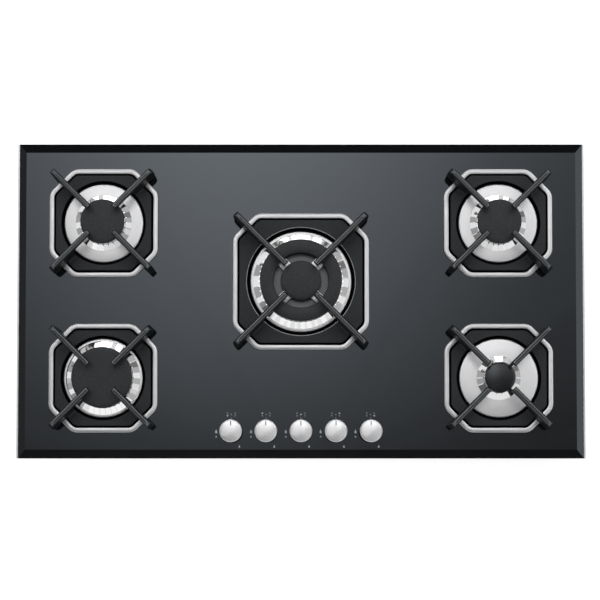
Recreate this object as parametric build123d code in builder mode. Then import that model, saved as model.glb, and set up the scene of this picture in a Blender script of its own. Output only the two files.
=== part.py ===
from build123d import *
import os
from dataclasses import dataclass
from math import atan2, cos, degrees, radians, sin, sqrt

# Gas cooktop, 900 x 500 mm, with five burners under a bevelled glass top.
# Frame: origin at the middle of the underside, +X right, +Y to the back, +Z up.
# All lengths are in millimetres.

os.makedirs("parts", exist_ok=True)

# ---------------------------------------------------------------- outline
hob_width = 900.0
hob_depth = 500.0
glass_thickness = 8.0
bevel_inset = 14.0  # from the hob's outline to the flat top face
bevel_drop = 3.0
side_trim_width = 2.6
side_trim_foot = 8.0  # reach of the trim's foot under the glass
side_trim_sheet = 1.0
side_trim_chamfer = 0.6
glass_hole_margin = 1.0  # radius of the glass holes beyond the bore of the discs

# ---------------------------------------------------------------- tray
tray_width = 848.0
tray_depth = 462.0
tray_height = 46.0
tray_sheet = 1.2
tray_flange = 7.0
notch_width = 58.0  # plan notch at the rear right corner, for the gas inlet
notch_depth = 58.0
rib_width = 16.0  # pressed stiffening ribs in the tray floor
rib_rise = 3.0
rib_length = 330.0
rib_x = 200.0
panel_hole_radius = 2.25  # M4 clearance holes for the worktop hooks
panel_hole_inset_x = 44.0  # from the tray's side walls
panel_hole_inset_y = 81.0  # from the tray's front and back walls
seal_width = 6.0
seal_thickness = 3.0
seal_gap = 0.5  # between the tray flange and the sealing strip

# ---------------------------------------------------------------- clearances
seat_gap = 0.3  # between a lift-off piece and its seat
running_gap = 0.06  # radial, between a shaft and its bearing
free_gap = 0.5  # round pieces that don't guide each other
cut_margin = 1.0  # overrun of a cut past the metal that it opens

# ---------------------------------------------------------------- levels
glass_bottom = tray_height
deck = glass_bottom + glass_thickness  # top face of the glass
disc_height = 2.0
cup_rise = 2.4  # seat of the crown above the glass
crown_rise = 19.0  # top of the crown above the glass
cap_thickness = 4.0
finger_rise = 36.0  # underside of the pan fingers above the glass
rest_rise = 44.0  # pan rest above the glass


# ---------------------------------------------------------------- burners
@dataclass
class Burner:
    """One burner with its pan support; every radius is about the burner's axis."""

    name: str
    x: float
    y: float
    cap_radius: float
    skirt_radius: float  # foot of the polished skirt
    disc_radius: float
    crown_wall: float  # thickness of the ported wall at its top
    ports: int
    base_radius: float  # corner radius of the eight-sided casting under the glass
    carrier_half: float  # half width of the carrier under the burner
    plate_half: float  # half the pan support plate, across its flats
    plate_opening: float  # radius of the plate's round opening
    tip_radius: float  # inner end of the pan fingers
    rest_radius: float  # outer end of the straight pan rest

    @property
    def axis(self):
        return Axis((self.x, self.y, 0), (0, 0, 1))

    @property
    def section(self):
        """Plane of a half section: local x is the radius, local y is the world's Z."""
        return Plane(origin=(self.x, self.y, 0), x_dir=(1, 0, 0), z_dir=(0, -1, 0))

    def level(self, height):
        """Horizontal plane through the burner's axis at a height."""
        return Plane.XY.offset(height).move(Location((self.x, self.y, 0)))

    @property
    def disc_bore(self):
        return self.skirt_radius - skirt_overlap

    @property
    def crown_radius(self):
        return self.cap_radius - cap_overhang

    @property
    def skirt_top(self):
        return deck + cup_rise + (self.skirt_radius - self.crown_radius) * skirt_slope

    @property
    def leg_radius(self):
        return self.rest_radius + leg_slope


outer_x = 312.5
outer_y = 123.0
centre_y = 30.0
skirt_overlap = 2.4  # the skirt's foot covers the disc's inner edge
skirt_slope = 0.68  # rise of the polished skirt over its run
cap_overhang = 0.8  # of a cap past the crown's top edge
leg_slope = 5.5  # from the end of the pan rest to the outer face of the legs

auxiliary_cap_radius = 24.4
auxiliary_skirt_radius = 35.0
auxiliary_wall = 7.0
auxiliary_ports = 10
auxiliary_base_radius = 23.0
semi_rapid_cap_radius = 35.0
semi_rapid_skirt_radius = 44.6
semi_rapid_wall = 8.0
semi_rapid_ports = 14
semi_rapid_base_radius = 33.0
rapid_cap_radius = 48.0
rapid_skirt_radius = 58.7
rapid_wall = 8.0
rapid_ports = 16
rapid_base_radius = 45.0
triple_cap_radius = 64.8
triple_skirt_radius = 75.4
triple_disc_radius = 80.3
triple_wall = 7.0
triple_ports = 20
triple_base_radius = 62.0
triple_carrier_half = 66.0
triple_plate_half = 97.3
triple_plate_opening = 85.5
triple_tip_radius = 32.5
triple_rest_radius = 141.0
side_disc_radius = 62.7  # the four outer places share one size of disc and pan support
side_carrier_half = 50.0
side_plate_half = 75.25
side_plate_opening = 67.0
side_tip_radius = 27.0
side_rest_radius = 106.0

semi_rapid = (semi_rapid_cap_radius, semi_rapid_skirt_radius, side_disc_radius, semi_rapid_wall,
              semi_rapid_ports, semi_rapid_base_radius)
rapid = (rapid_cap_radius, rapid_skirt_radius, side_disc_radius, rapid_wall, rapid_ports,
         rapid_base_radius)
auxiliary = (auxiliary_cap_radius, auxiliary_skirt_radius, side_disc_radius, auxiliary_wall,
             auxiliary_ports, auxiliary_base_radius)
triple = (triple_cap_radius, triple_skirt_radius, triple_disc_radius, triple_wall, triple_ports,
          triple_base_radius)
side_support = (side_carrier_half, side_plate_half, side_plate_opening, side_tip_radius,
                side_rest_radius)
triple_support = (triple_carrier_half, triple_plate_half, triple_plate_opening, triple_tip_radius,
                  triple_rest_radius)

rear_left = Burner("rear_left", -outer_x, outer_y, *semi_rapid, *side_support)
rear_right = Burner("rear_right", outer_x, outer_y, *semi_rapid, *side_support)
centre = Burner("centre", 0.0, centre_y, *triple, *triple_support)
front_left = Burner("front_left", -outer_x, -outer_y, *rapid, *side_support)
front_right = Burner("front_right", outer_x, -outer_y, *auxiliary, *side_support)
burners = [rear_left, rear_right, centre, front_left, front_right]
simple_burners = [rear_left, rear_right, front_left, front_right]

# The middle burner has a second, inner ring of flame inside its cap ring.
ring_inner_radius = 43.3  # inner edge of the cap ring
inner_cap_radius = 31.0
inner_ports = 8
channel_floor = 6.0  # floor of the air channel above the glass
bridge_width = 16.0
bridge_rise = 16.0
bridge_overlap = 1.6  # of a bridge into the ring at each end

# ---------------------------------------------------------------- burner details
throat_radius = 8.0
throat_sides = 8  # the casting and its throat are eight-sided
rod_sides = 8  # thin rods and pipes are drawn with eight flats
hex_sides = 6
port_width = 1.7
port_depth = 8.0
crown_floor = 8.0  # floor of the gas chamber above the glass
notch_span = 7.0  # gaps in the skirt for the electrode and the thermocouple
electrode_offset = 3.5  # from the cap's edge to the electrode's axis
electrode_radius = 2.6
electrode_pin_radius = 1.0
electrode_body_rise = 9.0  # top of the ceramic above the glass
electrode_tip_rise = 16.0
electrode_angle = 117.0
thermocouple_radius = 1.6
thermocouple_tip_rise = 15.0
thermocouple_angle = 157.0

# ---------------------------------------------------------------- trim frames
frame_gap = 3.3  # between the pan support plate and the frame
frame_width = 7.9
frame_height = 4.0
frame_outer_slope = 1.4
corner_leg = 31.4  # corner cut of the pan support plate
corner_growth = 2 - sqrt(2)  # of a corner cut, for each unit that its octagon grows

# ---------------------------------------------------------------- pan supports
plate_bottom = 1.6  # above the glass
plate_top = 6.0
plate_bevel = 0.8
ridge_width = 4.4
finger_width = 9.2
web_width = 9.8
ridge_drop = 2.5  # height of the sloping shoulders under the ridge
leg_length = 11.5
leg_rise = 30.0  # where the outer end starts to slope back to the pan rest
bridge_clearance = 7.4  # underside of the arm where it passes over the frame
flank_drop = 4.0  # below the fingers' underside, where the web narrows to their width
haunch = 8.0  # corner where the finger's underside turns into the web
web_lean = 3.0  # lean of the web's inner face over its height
root_inset = 0.3  # of the web's outer face inside the plate's cut corner
bridge_run = 2.0  # length of the slope up to the bridge over the frame
web_fillet = 3.2  # sloping foot of the web on the plate
foot_batter = 0.5  # lean of the sloping foot into the web
foot_start = 1.5  # from the plate's opening to the sloping foot
foot_end = 2.5  # from the plate's edge to the sloping foot
tip_chamfer = 2.0
pad_length = 9.0
pad_width = 8.4
pad_height = 3.0
arm_angle = 45.0
arm_count = 4

# ---------------------------------------------------------------- controls
knob_count = 5
knob_pitch = 55.0
knob_inset = 24.0  # from the tray's front wall to the knobs' axes
knob_radius = 17.9
knob_lift = 4.5  # underside of the knob above the glass
knob_height = 20.5
facet_width = 3.6  # sloping facets on the left and right of the knob's top
facet_drop = 1.6
pointer_length = 6.7
pointer_width = 1.5
pointer_depth = 0.5
pointer_inset = 2.6  # from the knob's top edge to the pointer
socket_depth = 12.0
spindle_radius = 3.0
spindle_flat = 2.2  # from the spindle's axis to its flat
spindle_hole_radius = 8.0  # in the glass
press_travel = 3.0
spindle_end_gap = 0.3
tongue_thickness = 2.0
tongue_width = 5.0
tongue_engagement = 4.5  # depth of the tongue in the plug's pocket with the knob up
pocket_gap = 0.05  # on each side of the tongue

# ---------------------------------------------------------------- gas train
carrier_top = 20.0
carrier_sheet = 1.5
carrier_half_length = 168.0
carrier_foot = 9.0
bolt_size = 7.0  # across flats
bolt_head = 3.0
bolt_end_distance = 28.0  # from a carrier's end to its bolts
holder_size = 26.0
holder_height = 10.0
injector_size = 8.0  # across flats
injector_height = 7.0
rail_size = 12.0  # square tube
rail_wall = 1.5
rail_reach = 15.4  # from the knobs' axes forward to the rail's axis
rail_z = 26.0
rail_end_reach = 30.0  # of the rail past the last tap
elbow_size = 20.0
elbow_arm = 24.0  # from the inlet's axis to the mouth of the socket
elbow_socket = 7.0  # length of rail held in the elbow
inlet_thread_radius = 10.478  # G1/2 outside radius
inlet_thread_length = 14.0
inlet_bore_radius = 7.0
inlet_hex = 24.0
inlet_collar = 3.0
inlet_lift = 1.0  # thread end above the tray's underside
tap_width = 20.0
tap_back_reach = 11.0  # from the knobs' axes to the back of the taps
tap_bottom = 16.0
tap_top = 40.0
plug_radius = 5.5
plug_bottom = 22.0
plug_top = 36.0
cover_height = 2.0
outlet_size = 11.0  # block that turns to face the feed pipe
outlet_offset = 4.5  # its centre behind the tap's back
pipe_radius = 3.0
pipe_z = carrier_top + holder_height / 2
bracket_width = 12.0
bracket_sheet = 1.5
far_bracket_x = 250.0

# ---------------------------------------------------------------- electrics
module_width = 64.0
module_depth = 42.0
module_height = 24.0
module_x = -150.0
module_inset = 66.0  # from the tray's back wall to the module's middle
grommet_x = -250.0
grommet_z = 24.0
grommet_size = 16.0
grommet_flange = 2.0
grommet_bore = 7.2

# worked out from the sizes above
glass_width = hob_width - 2 * side_trim_width
knob_y = knob_inset - tray_depth / 2
tap_positions = [(index - (knob_count - 1) / 2) * knob_pitch for index in range(knob_count)]
tap_back_y = knob_y + tap_back_reach
rail_y = knob_y - rail_reach
rail_end_x = tap_positions[0] - rail_end_reach
rail_turn_x = tray_width / 2 - notch_width / 2
bracket_xs = ((tap_positions[0] + tap_positions[1]) / 2, far_bracket_x)
bolt_y = carrier_half_length - bolt_end_distance
module_y = tray_depth / 2 - module_inset
notch_front = tray_depth / 2 - notch_depth
inlet_y = tray_depth / 2 - notch_depth / 2
cap_bottom = deck + crown_rise + seat_gap
rest_z = deck + rest_rise


@dataclass
class Feed:
    """Straight gas pipe from the turned outlet of a tap to a burner's holder."""

    x: float
    burner: Burner

    @property
    def outlet(self):
        return Vector(self.x, tap_back_y + outlet_offset, pipe_z)

    @property
    def run(self):
        return Vector(self.burner.x, self.burner.y, pipe_z) - self.outlet

    @property
    def heading(self):
        """Direction of the pipe, in degrees from +X."""
        return degrees(atan2(self.run.Y, self.run.X))


tap_burners = [front_left, rear_left, centre, rear_right, front_right]
feeds = [Feed(x, burner) for x, burner in zip(tap_positions, tap_burners)]


def save(part, label):
    """Label a finished piece and write its file."""
    part.label = label
    export_step(part, f"parts/{label}.step")


def half_section(plane, points):
    """Closed profile on a plane, from a list of (radius, height) points."""
    with BuildSketch(plane, mode=Mode.PRIVATE) as profile:
        with BuildLine():
            Polyline(*points, close=True)
        make_face()
    return profile.sketch


def octagon(half, leg):
    """Square with cut corners, centred on its own origin."""
    with BuildSketch(mode=Mode.PRIVATE) as outline:
        Rectangle(2 * half, 2 * half)
        chamfer(outline.vertices(), leg)
    return outline.sketch


def polar(burner, radius, angle):
    """Plan position at a radius and angle about a burner's axis."""
    return (burner.x + radius * cos(radians(angle)), burner.y + radius * sin(radians(angle)))


# ================================================================ glass and its edge
with BuildPart() as glass_top:
    with BuildSketch(Plane.XY.offset(glass_bottom)):
        Rectangle(glass_width, hob_depth)
    extrude(amount=glass_thickness - bevel_drop)
    with BuildSketch(Plane.XY.offset(deck - bevel_drop)):
        Rectangle(glass_width, hob_depth)
    with BuildSketch(Plane.XY.offset(deck)):
        Rectangle(hob_width - 2 * bevel_inset, hob_depth - 2 * bevel_inset)
    loft(ruled=True)
    for burner in burners:
        with BuildSketch(burner.level(glass_bottom)):
            Circle(burner.disc_bore + glass_hole_margin)
        extrude(amount=glass_thickness, mode=Mode.SUBTRACT)
    with BuildSketch(Plane.XY.offset(glass_bottom)):
        with Locations(*[(x, knob_y) for x in tap_positions]):
            Circle(spindle_hole_radius)
    extrude(amount=glass_thickness, mode=Mode.SUBTRACT)
save(glass_top.part, "glass_top")

for side, label in ((-1, "side_trim_left"), (1, "side_trim_right")):
    with BuildPart() as side_trim:
        with BuildSketch(Plane.XZ.offset(-hob_depth / 2)):
            with BuildLine():
                Polyline(
                    (side * hob_width / 2, glass_bottom - side_trim_sheet),
                    (side * hob_width / 2, deck - bevel_drop - side_trim_chamfer),
                    (side * (hob_width / 2 - side_trim_chamfer), deck - bevel_drop),
                    (side * glass_width / 2, deck - bevel_drop),
                    (side * glass_width / 2, glass_bottom),
                    (side * (glass_width / 2 - side_trim_foot), glass_bottom),
                    (side * (glass_width / 2 - side_trim_foot), glass_bottom - side_trim_sheet),
                    close=True,
                )
            make_face()
        extrude(amount=hob_depth)
    save(side_trim.part, label)

# ================================================================ tray
flange_width = tray_width + 2 * tray_flange
flange_depth = tray_depth + 2 * tray_flange


def tray_outline(grow):
    """Tray plan with its corner notch, grown outward by a distance."""
    with BuildSketch(mode=Mode.PRIVATE) as outline:
        Rectangle(tray_width + 2 * grow, tray_depth + 2 * grow)
        with Locations((tray_width / 2 + grow, tray_depth / 2 + grow)):
            Rectangle(2 * notch_width, 2 * notch_depth, mode=Mode.SUBTRACT)
    return outline.sketch


with BuildPart() as lower_tray:
    with BuildSketch():
        add(tray_outline(0))
    extrude(amount=tray_height)
    with BuildSketch(Plane.XY.offset(tray_height - tray_sheet)):
        add(tray_outline(tray_flange))
    extrude(amount=tray_sheet)
    with BuildSketch(Plane.XY.offset(tray_sheet)):
        add(tray_outline(-tray_sheet))
    extrude(amount=tray_height, mode=Mode.SUBTRACT)
    # pressed ribs: raised inside, hollow from below
    with BuildSketch(Plane.XY.offset(tray_sheet)):
        with Locations((-rib_x, 0), (rib_x, 0)):
            Rectangle(rib_width, rib_length)
    extrude(amount=rib_rise)
    with BuildSketch():
        with Locations((-rib_x, 0), (rib_x, 0)):
            Rectangle(rib_width - 2 * tray_sheet, rib_length - 2 * tray_sheet)
    extrude(amount=rib_rise, mode=Mode.SUBTRACT)
    with BuildSketch():
        hole_pitch_x = tray_width - 2 * panel_hole_inset_x
        hole_pitch_y = tray_depth - 2 * panel_hole_inset_y
        with GridLocations(hole_pitch_x, hole_pitch_y, 2, 2):
            Circle(panel_hole_radius)
    extrude(amount=tray_sheet, mode=Mode.SUBTRACT)
    # window for the gas rail in the notch's front wall, and for the mains lead in the back
    with BuildSketch(Plane.XZ.offset(-notch_front)):
        with Locations((rail_turn_x, rail_z)):
            Rectangle(rail_size + 2 * free_gap, rail_size + 2 * free_gap)
    extrude(amount=2 * tray_sheet, both=True, mode=Mode.SUBTRACT)
    with BuildSketch(Plane.XZ.offset(-tray_depth / 2)):
        with Locations((grommet_x, grommet_z)):
            Rectangle(grommet_size, grommet_size)
    extrude(amount=2 * tray_sheet, both=True, mode=Mode.SUBTRACT)
save(lower_tray.part, "lower_tray")

with BuildPart() as perimeter_seal:
    with BuildSketch(Plane.XY.offset(glass_bottom - seal_thickness)):
        inner_width = flange_width + 2 * seal_gap
        inner_depth = flange_depth + 2 * seal_gap
        Rectangle(inner_width + 2 * seal_width, inner_depth + 2 * seal_width)
        Rectangle(inner_width, inner_depth, mode=Mode.SUBTRACT)
    extrude(amount=seal_thickness)
save(perimeter_seal.part, "perimeter_seal")

# ================================================================ carriers
carriers = [(burner.x, burner.carrier_half) for burner in (rear_left, centre, rear_right)]

with BuildPart() as burner_carriers:
    for x, half in carriers:
        with BuildSketch(Plane.XZ.offset(-carrier_half_length)):
            with BuildLine():
                Polyline(
                    (x - half - carrier_foot, tray_sheet),
                    (x - half - carrier_foot, tray_sheet + carrier_sheet),
                    (x - half, tray_sheet + carrier_sheet),
                    (x - half, carrier_top),
                    (x + half, carrier_top),
                    (x + half, tray_sheet + carrier_sheet),
                    (x + half + carrier_foot, tray_sheet + carrier_sheet),
                    (x + half + carrier_foot, tray_sheet),
                    (x + half - carrier_sheet, tray_sheet),
                    (x + half - carrier_sheet, carrier_top - carrier_sheet),
                    (x - half + carrier_sheet, carrier_top - carrier_sheet),
                    (x - half + carrier_sheet, tray_sheet),
                    close=True,
                )
            make_face()
        extrude(amount=2 * carrier_half_length)
save(burner_carriers.part, "burner_carriers")

with BuildPart() as carrier_bolts:
    for x, half in carriers:
        with BuildSketch(Plane.XY.offset(tray_sheet + carrier_sheet)):
            with Locations((x, 0)):
                with GridLocations(2 * half + carrier_foot, 2 * bolt_y, 2, 2):
                    RegularPolygon(bolt_size / 2, hex_sides, major_radius=False)
        extrude(amount=bolt_head)
save(carrier_bolts.part, "carrier_bolts")

# ================================================================ burners
with BuildPart() as burner_bases:
    for burner in burners:
        with BuildSketch(burner.level(carrier_top + holder_height)):
            RegularPolygon(burner.base_radius, throat_sides)
            RegularPolygon(throat_radius, throat_sides, mode=Mode.SUBTRACT)
        extrude(amount=deck + cup_rise - carrier_top - holder_height)
save(burner_bases.part, "burner_bases")

with BuildPart() as burner_discs:
    for burner in burners:
        with BuildSketch(burner.level(deck)):
            Circle(burner.disc_radius)
            Circle(burner.disc_bore, mode=Mode.SUBTRACT)
        extrude(amount=disc_height)
save(burner_discs.part, "burner_discs")


def crown_profile(burner):
    """Half section of a simple crown: polished skirt, upright ported wall, gas chamber."""
    return [
        (0, deck + cup_rise),
        (burner.skirt_radius, deck + cup_rise),
        (burner.crown_radius, burner.skirt_top),
        (burner.crown_radius, deck + crown_rise),
        (burner.crown_radius - burner.crown_wall, deck + crown_rise),
        (burner.crown_radius - burner.crown_wall, deck + crown_floor),
        (0, deck + crown_floor),
    ]


def triple_crown_profile(burner):
    """Half section of the middle crown: outer ring, air channel and inner ring in one."""
    ring_inner = ring_inner_radius + cap_overhang
    inner_crown = inner_cap_radius - cap_overhang
    return [
        (0, deck + cup_rise),
        (burner.skirt_radius, deck + cup_rise),
        (burner.crown_radius, burner.skirt_top),
        (burner.crown_radius, deck + crown_rise),
        (ring_inner, deck + crown_rise),
        (ring_inner, deck + channel_floor),
        (inner_crown, deck + channel_floor),
        (inner_crown, deck + crown_rise),
        (inner_crown - burner.crown_wall, deck + crown_rise),
        (inner_crown - burner.crown_wall, deck + crown_floor),
        (0, deck + crown_floor),
    ]


def port_cutter(burner, inner, outer, count):
    """Radial gas ports, open at the crown's top and closed there by the cap."""
    with BuildPart(mode=Mode.PRIVATE) as ports:
        with BuildSketch(burner.level(deck + crown_rise - port_depth)):
            with PolarLocations((inner + outer) / 2, count, start_angle=180 / count):
                Rectangle(outer - inner, port_width)
        extrude(amount=port_depth + cut_margin)
    return ports.part


def skirt_notches(burner):
    """Gaps through the skirt where the electrode and the thermocouple stand."""
    inner = burner.crown_radius - seat_gap
    outer = burner.skirt_radius + cut_margin
    with BuildPart(mode=Mode.PRIVATE) as notches:
        for angle in (electrode_angle, thermocouple_angle):
            with BuildSketch(burner.level(deck + cup_rise)):
                with PolarLocations((inner + outer) / 2, 1, start_angle=angle):
                    Rectangle(outer - inner, notch_span)
            extrude(amount=crown_rise)
    return notches.part


with BuildPart() as burner_heads:
    for burner in simple_burners:
        revolve(half_section(burner.section, crown_profile(burner)), axis=burner.axis)
    revolve(half_section(centre.section, triple_crown_profile(centre)), axis=centre.axis)
    with BuildSketch(centre.level(deck + channel_floor)):
        bridge_length = ring_inner_radius - inner_cap_radius + 2 * bridge_overlap
        bridge_middle = (ring_inner_radius + inner_cap_radius) / 2
        with PolarLocations(bridge_middle, arm_count, start_angle=arm_angle):
            Rectangle(bridge_length, bridge_width)
    extrude(amount=bridge_rise - channel_floor)
    for burner in burners:
        with BuildSketch(burner.level(deck + cup_rise)):
            RegularPolygon(throat_radius, throat_sides)
        extrude(amount=crown_floor, mode=Mode.SUBTRACT)
        chamber_radius = burner.crown_radius - burner.crown_wall
        add(port_cutter(burner, chamber_radius - cut_margin, burner.skirt_radius, burner.ports),
            mode=Mode.SUBTRACT)
        add(skirt_notches(burner), mode=Mode.SUBTRACT)
    inner_chamber_radius = inner_cap_radius - cap_overhang - centre.crown_wall
    add(port_cutter(centre, inner_chamber_radius - cut_margin, inner_cap_radius + cut_margin,
                    inner_ports), mode=Mode.SUBTRACT)
save(burner_heads.part, "burner_heads")

for burner in simple_burners:
    with BuildPart() as burner_cap:
        with BuildSketch(burner.level(cap_bottom)):
            Circle(burner.cap_radius)
        extrude(amount=cap_thickness)
    save(burner_cap.part, f"burner_cap_{burner.name}")

with BuildPart() as cap_inner:
    with BuildSketch(centre.level(cap_bottom)):
        Circle(inner_cap_radius)
    extrude(amount=cap_thickness)
save(cap_inner.part, "burner_cap_centre_inner")

with BuildPart() as cap_ring:
    with BuildSketch(centre.level(cap_bottom)):
        Circle(centre.cap_radius)
        Circle(ring_inner_radius, mode=Mode.SUBTRACT)
    extrude(amount=cap_thickness)
save(cap_ring.part, "burner_cap_centre_ring")

with BuildPart() as spark_electrodes:
    for burner in burners:
        spot = polar(burner, burner.cap_radius + electrode_offset, electrode_angle)
        with BuildSketch(Plane.XY.offset(carrier_top)):
            with Locations(spot):
                RegularPolygon(electrode_radius, rod_sides)
        extrude(amount=deck + electrode_body_rise - carrier_top)
        with BuildSketch(Plane.XY.offset(deck + electrode_body_rise)):
            with Locations(spot):
                RegularPolygon(electrode_pin_radius, rod_sides)
        extrude(amount=electrode_tip_rise - electrode_body_rise)
save(spark_electrodes.part, "spark_electrodes")

with BuildPart() as thermocouples:
    for burner in burners:
        spot = polar(burner, burner.cap_radius + electrode_offset, thermocouple_angle)
        with BuildSketch(Plane.XY.offset(carrier_top)):
            with Locations(spot):
                RegularPolygon(thermocouple_radius, rod_sides)
        extrude(amount=deck + thermocouple_tip_rise - carrier_top)
save(thermocouples.part, "thermocouples")

# ================================================================ trim frames
with BuildPart() as trim_frames:
    for burner in burners:
        inner_half = burner.plate_half + frame_gap
        outer_half = inner_half + frame_width
        inner_leg = corner_leg + frame_gap * corner_growth
        outer_leg = inner_leg + frame_width * corner_growth
        with BuildSketch(burner.level(deck)):
            add(octagon(outer_half, outer_leg))
            add(octagon(inner_half, inner_leg), mode=Mode.SUBTRACT)
        extrude(amount=frame_height)
    tops = trim_frames.faces().filter_by(Axis.Z).sort_by(Axis.Z)[-len(burners):]
    outer_edges = [edge for face in tops for edge in face.outer_wire().edges()]
    chamfer(outer_edges, frame_outer_slope)
save(trim_frames.part, "trim_frames")


# ================================================================ pan supports
def arm(burner):
    """One arm along +X: finger, web over the frame, and leg, as a casting's half of a cross."""
    section_top = rest_z - ridge_drop
    with BuildPart(mode=Mode.PRIVATE) as casting:
        with BuildSketch(Plane.YZ.offset(burner.tip_radius)):
            with BuildLine():
                Polyline(
                    (-web_width / 2, deck + plate_bottom),
                    (web_width / 2, deck + plate_bottom),
                    (finger_width / 2, deck + finger_rise - flank_drop),
                    (finger_width / 2, section_top),
                    (ridge_width / 2, rest_z),
                    (-ridge_width / 2, rest_z),
                    (-finger_width / 2, section_top),
                    (-finger_width / 2, deck + finger_rise - flank_drop),
                    close=True,
                )
            make_face()
        extrude(amount=burner.leg_radius - burner.tip_radius)
        plate_edge = (burner.plate_half * 2 - corner_leg) / sqrt(2)
        root = plate_edge - root_inset
        with BuildSketch(Plane.XZ):
            with BuildLine():
                Polyline(
                    (burner.tip_radius, deck + finger_rise),
                    (burner.plate_opening - haunch, deck + finger_rise),
                    (burner.plate_opening, deck + finger_rise - haunch),
                    (burner.plate_opening + web_lean, deck + plate_bottom),
                    (root, deck + plate_bottom),
                    (root, deck + plate_top),
                    (plate_edge + bridge_run, deck + bridge_clearance),
                    (burner.leg_radius - leg_length, deck + bridge_clearance),
                    (burner.leg_radius - leg_length, deck + pad_height + seat_gap),
                    (burner.leg_radius, deck + pad_height + seat_gap),
                    (burner.leg_radius, deck + leg_rise),
                    (burner.rest_radius, rest_z),
                    (burner.tip_radius + tip_chamfer, rest_z),
                    (burner.tip_radius, rest_z - tip_chamfer),
                    close=True,
                )
            make_face()
        extrude(amount=web_width, both=True, mode=Mode.INTERSECT)
        with BuildSketch(Plane.YZ.offset(burner.plate_opening + foot_start)):
            with BuildLine():
                Polyline(
                    (-web_width / 2 - web_fillet, deck + plate_top),
                    (web_width / 2 + web_fillet, deck + plate_top),
                    (web_width / 2 - foot_batter, deck + plate_top + web_fillet),
                    (-web_width / 2 + foot_batter, deck + plate_top + web_fillet),
                    close=True,
                )
            make_face()
        extrude(amount=plate_edge - burner.plate_opening - foot_start - foot_end)
    return casting.part


for burner in burners:
    casting_arm = arm(burner)
    with BuildPart() as pan_support:
        with BuildSketch(Plane.XY.offset(deck + plate_bottom)):
            add(octagon(burner.plate_half, corner_leg))
        extrude(amount=plate_top - plate_bottom)
        top_edges = pan_support.faces().sort_by(Axis.Z)[-1].edges()
        chamfer(top_edges, plate_bevel)
        with BuildSketch(Plane.XY.offset(deck + plate_bottom)):
            Circle(burner.plate_opening)
        extrude(amount=plate_top, mode=Mode.SUBTRACT)
        with PolarLocations(0, arm_count, start_angle=arm_angle):
            add(casting_arm)
    support = pan_support.part.moved(Location((burner.x, burner.y, 0)))
    save(support, f"pan_support_{burner.name}")

    with BuildPart() as feet:
        with BuildSketch(burner.level(deck + seat_gap)):
            pad_radius = burner.leg_radius - leg_length / 2
            with PolarLocations(pad_radius, arm_count, start_angle=arm_angle):
                Rectangle(pad_length, pad_width)
        extrude(amount=pad_height)
    save(feet.part, f"pan_support_feet_{burner.name}")

# ================================================================ gas train
with BuildPart() as injector_holders:
    for feed in feeds:
        with BuildSketch(feed.burner.level(carrier_top)):
            Rectangle(holder_size, holder_size, rotation=feed.heading)
        extrude(amount=holder_height)
save(injector_holders.part, "injector_holders")

with BuildPart() as injectors:
    for burner in burners:
        with BuildSketch(burner.level(carrier_top + holder_height)):
            RegularPolygon(injector_size / 2, hex_sides, major_radius=False)
        extrude(amount=injector_height)
save(injectors.part, "injectors")

with BuildPart() as feed_pipes:
    for feed in feeds:
        start = feed.outlet + feed.run.normalized() * (outlet_size / 2)
        length = feed.run.length - (outlet_size + holder_size) / 2
        with BuildSketch(Plane(origin=start, z_dir=feed.run)):
            RegularPolygon(pipe_radius, rod_sides)
        extrude(amount=length)
save(feed_pipes.part, "feed_pipes")

socket_mouth_y = inlet_y - elbow_arm
rail_end_y = socket_mouth_y + elbow_socket


def rail_runs(size, inset):
    """The two square runs of the gas rail, shortened at both ends by an inset."""
    with BuildPart(mode=Mode.PRIVATE) as runs:
        with BuildSketch(Plane.YZ.offset(rail_end_x + inset)):
            with Locations((rail_y, rail_z)):
                Rectangle(size, size)
        extrude(amount=rail_turn_x + size / 2 - rail_end_x - inset)
        with BuildSketch(Plane.XZ.offset(-rail_y)):
            with Locations((rail_turn_x, rail_z)):
                Rectangle(size, size)
        extrude(amount=-(rail_end_y - rail_y))
    return runs.part


with BuildPart() as gas_rail:
    add(rail_runs(rail_size, 0))
    add(rail_runs(rail_size - 2 * rail_wall, rail_wall), mode=Mode.SUBTRACT)
save(gas_rail.part, "gas_rail")

with BuildPart() as rail_brackets:
    for x in bracket_xs:
        with BuildSketch(Plane.YZ.offset(x)):
            with Locations((rail_y + bracket_sheet, (tray_sheet + rail_z) / 2)):
                Rectangle(rail_size, rail_z - tray_sheet)
            with Locations((rail_y, rail_z)):
                Rectangle(rail_size, rail_size, mode=Mode.SUBTRACT)
        extrude(amount=bracket_width)
save(rail_brackets.part, "rail_brackets")

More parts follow.
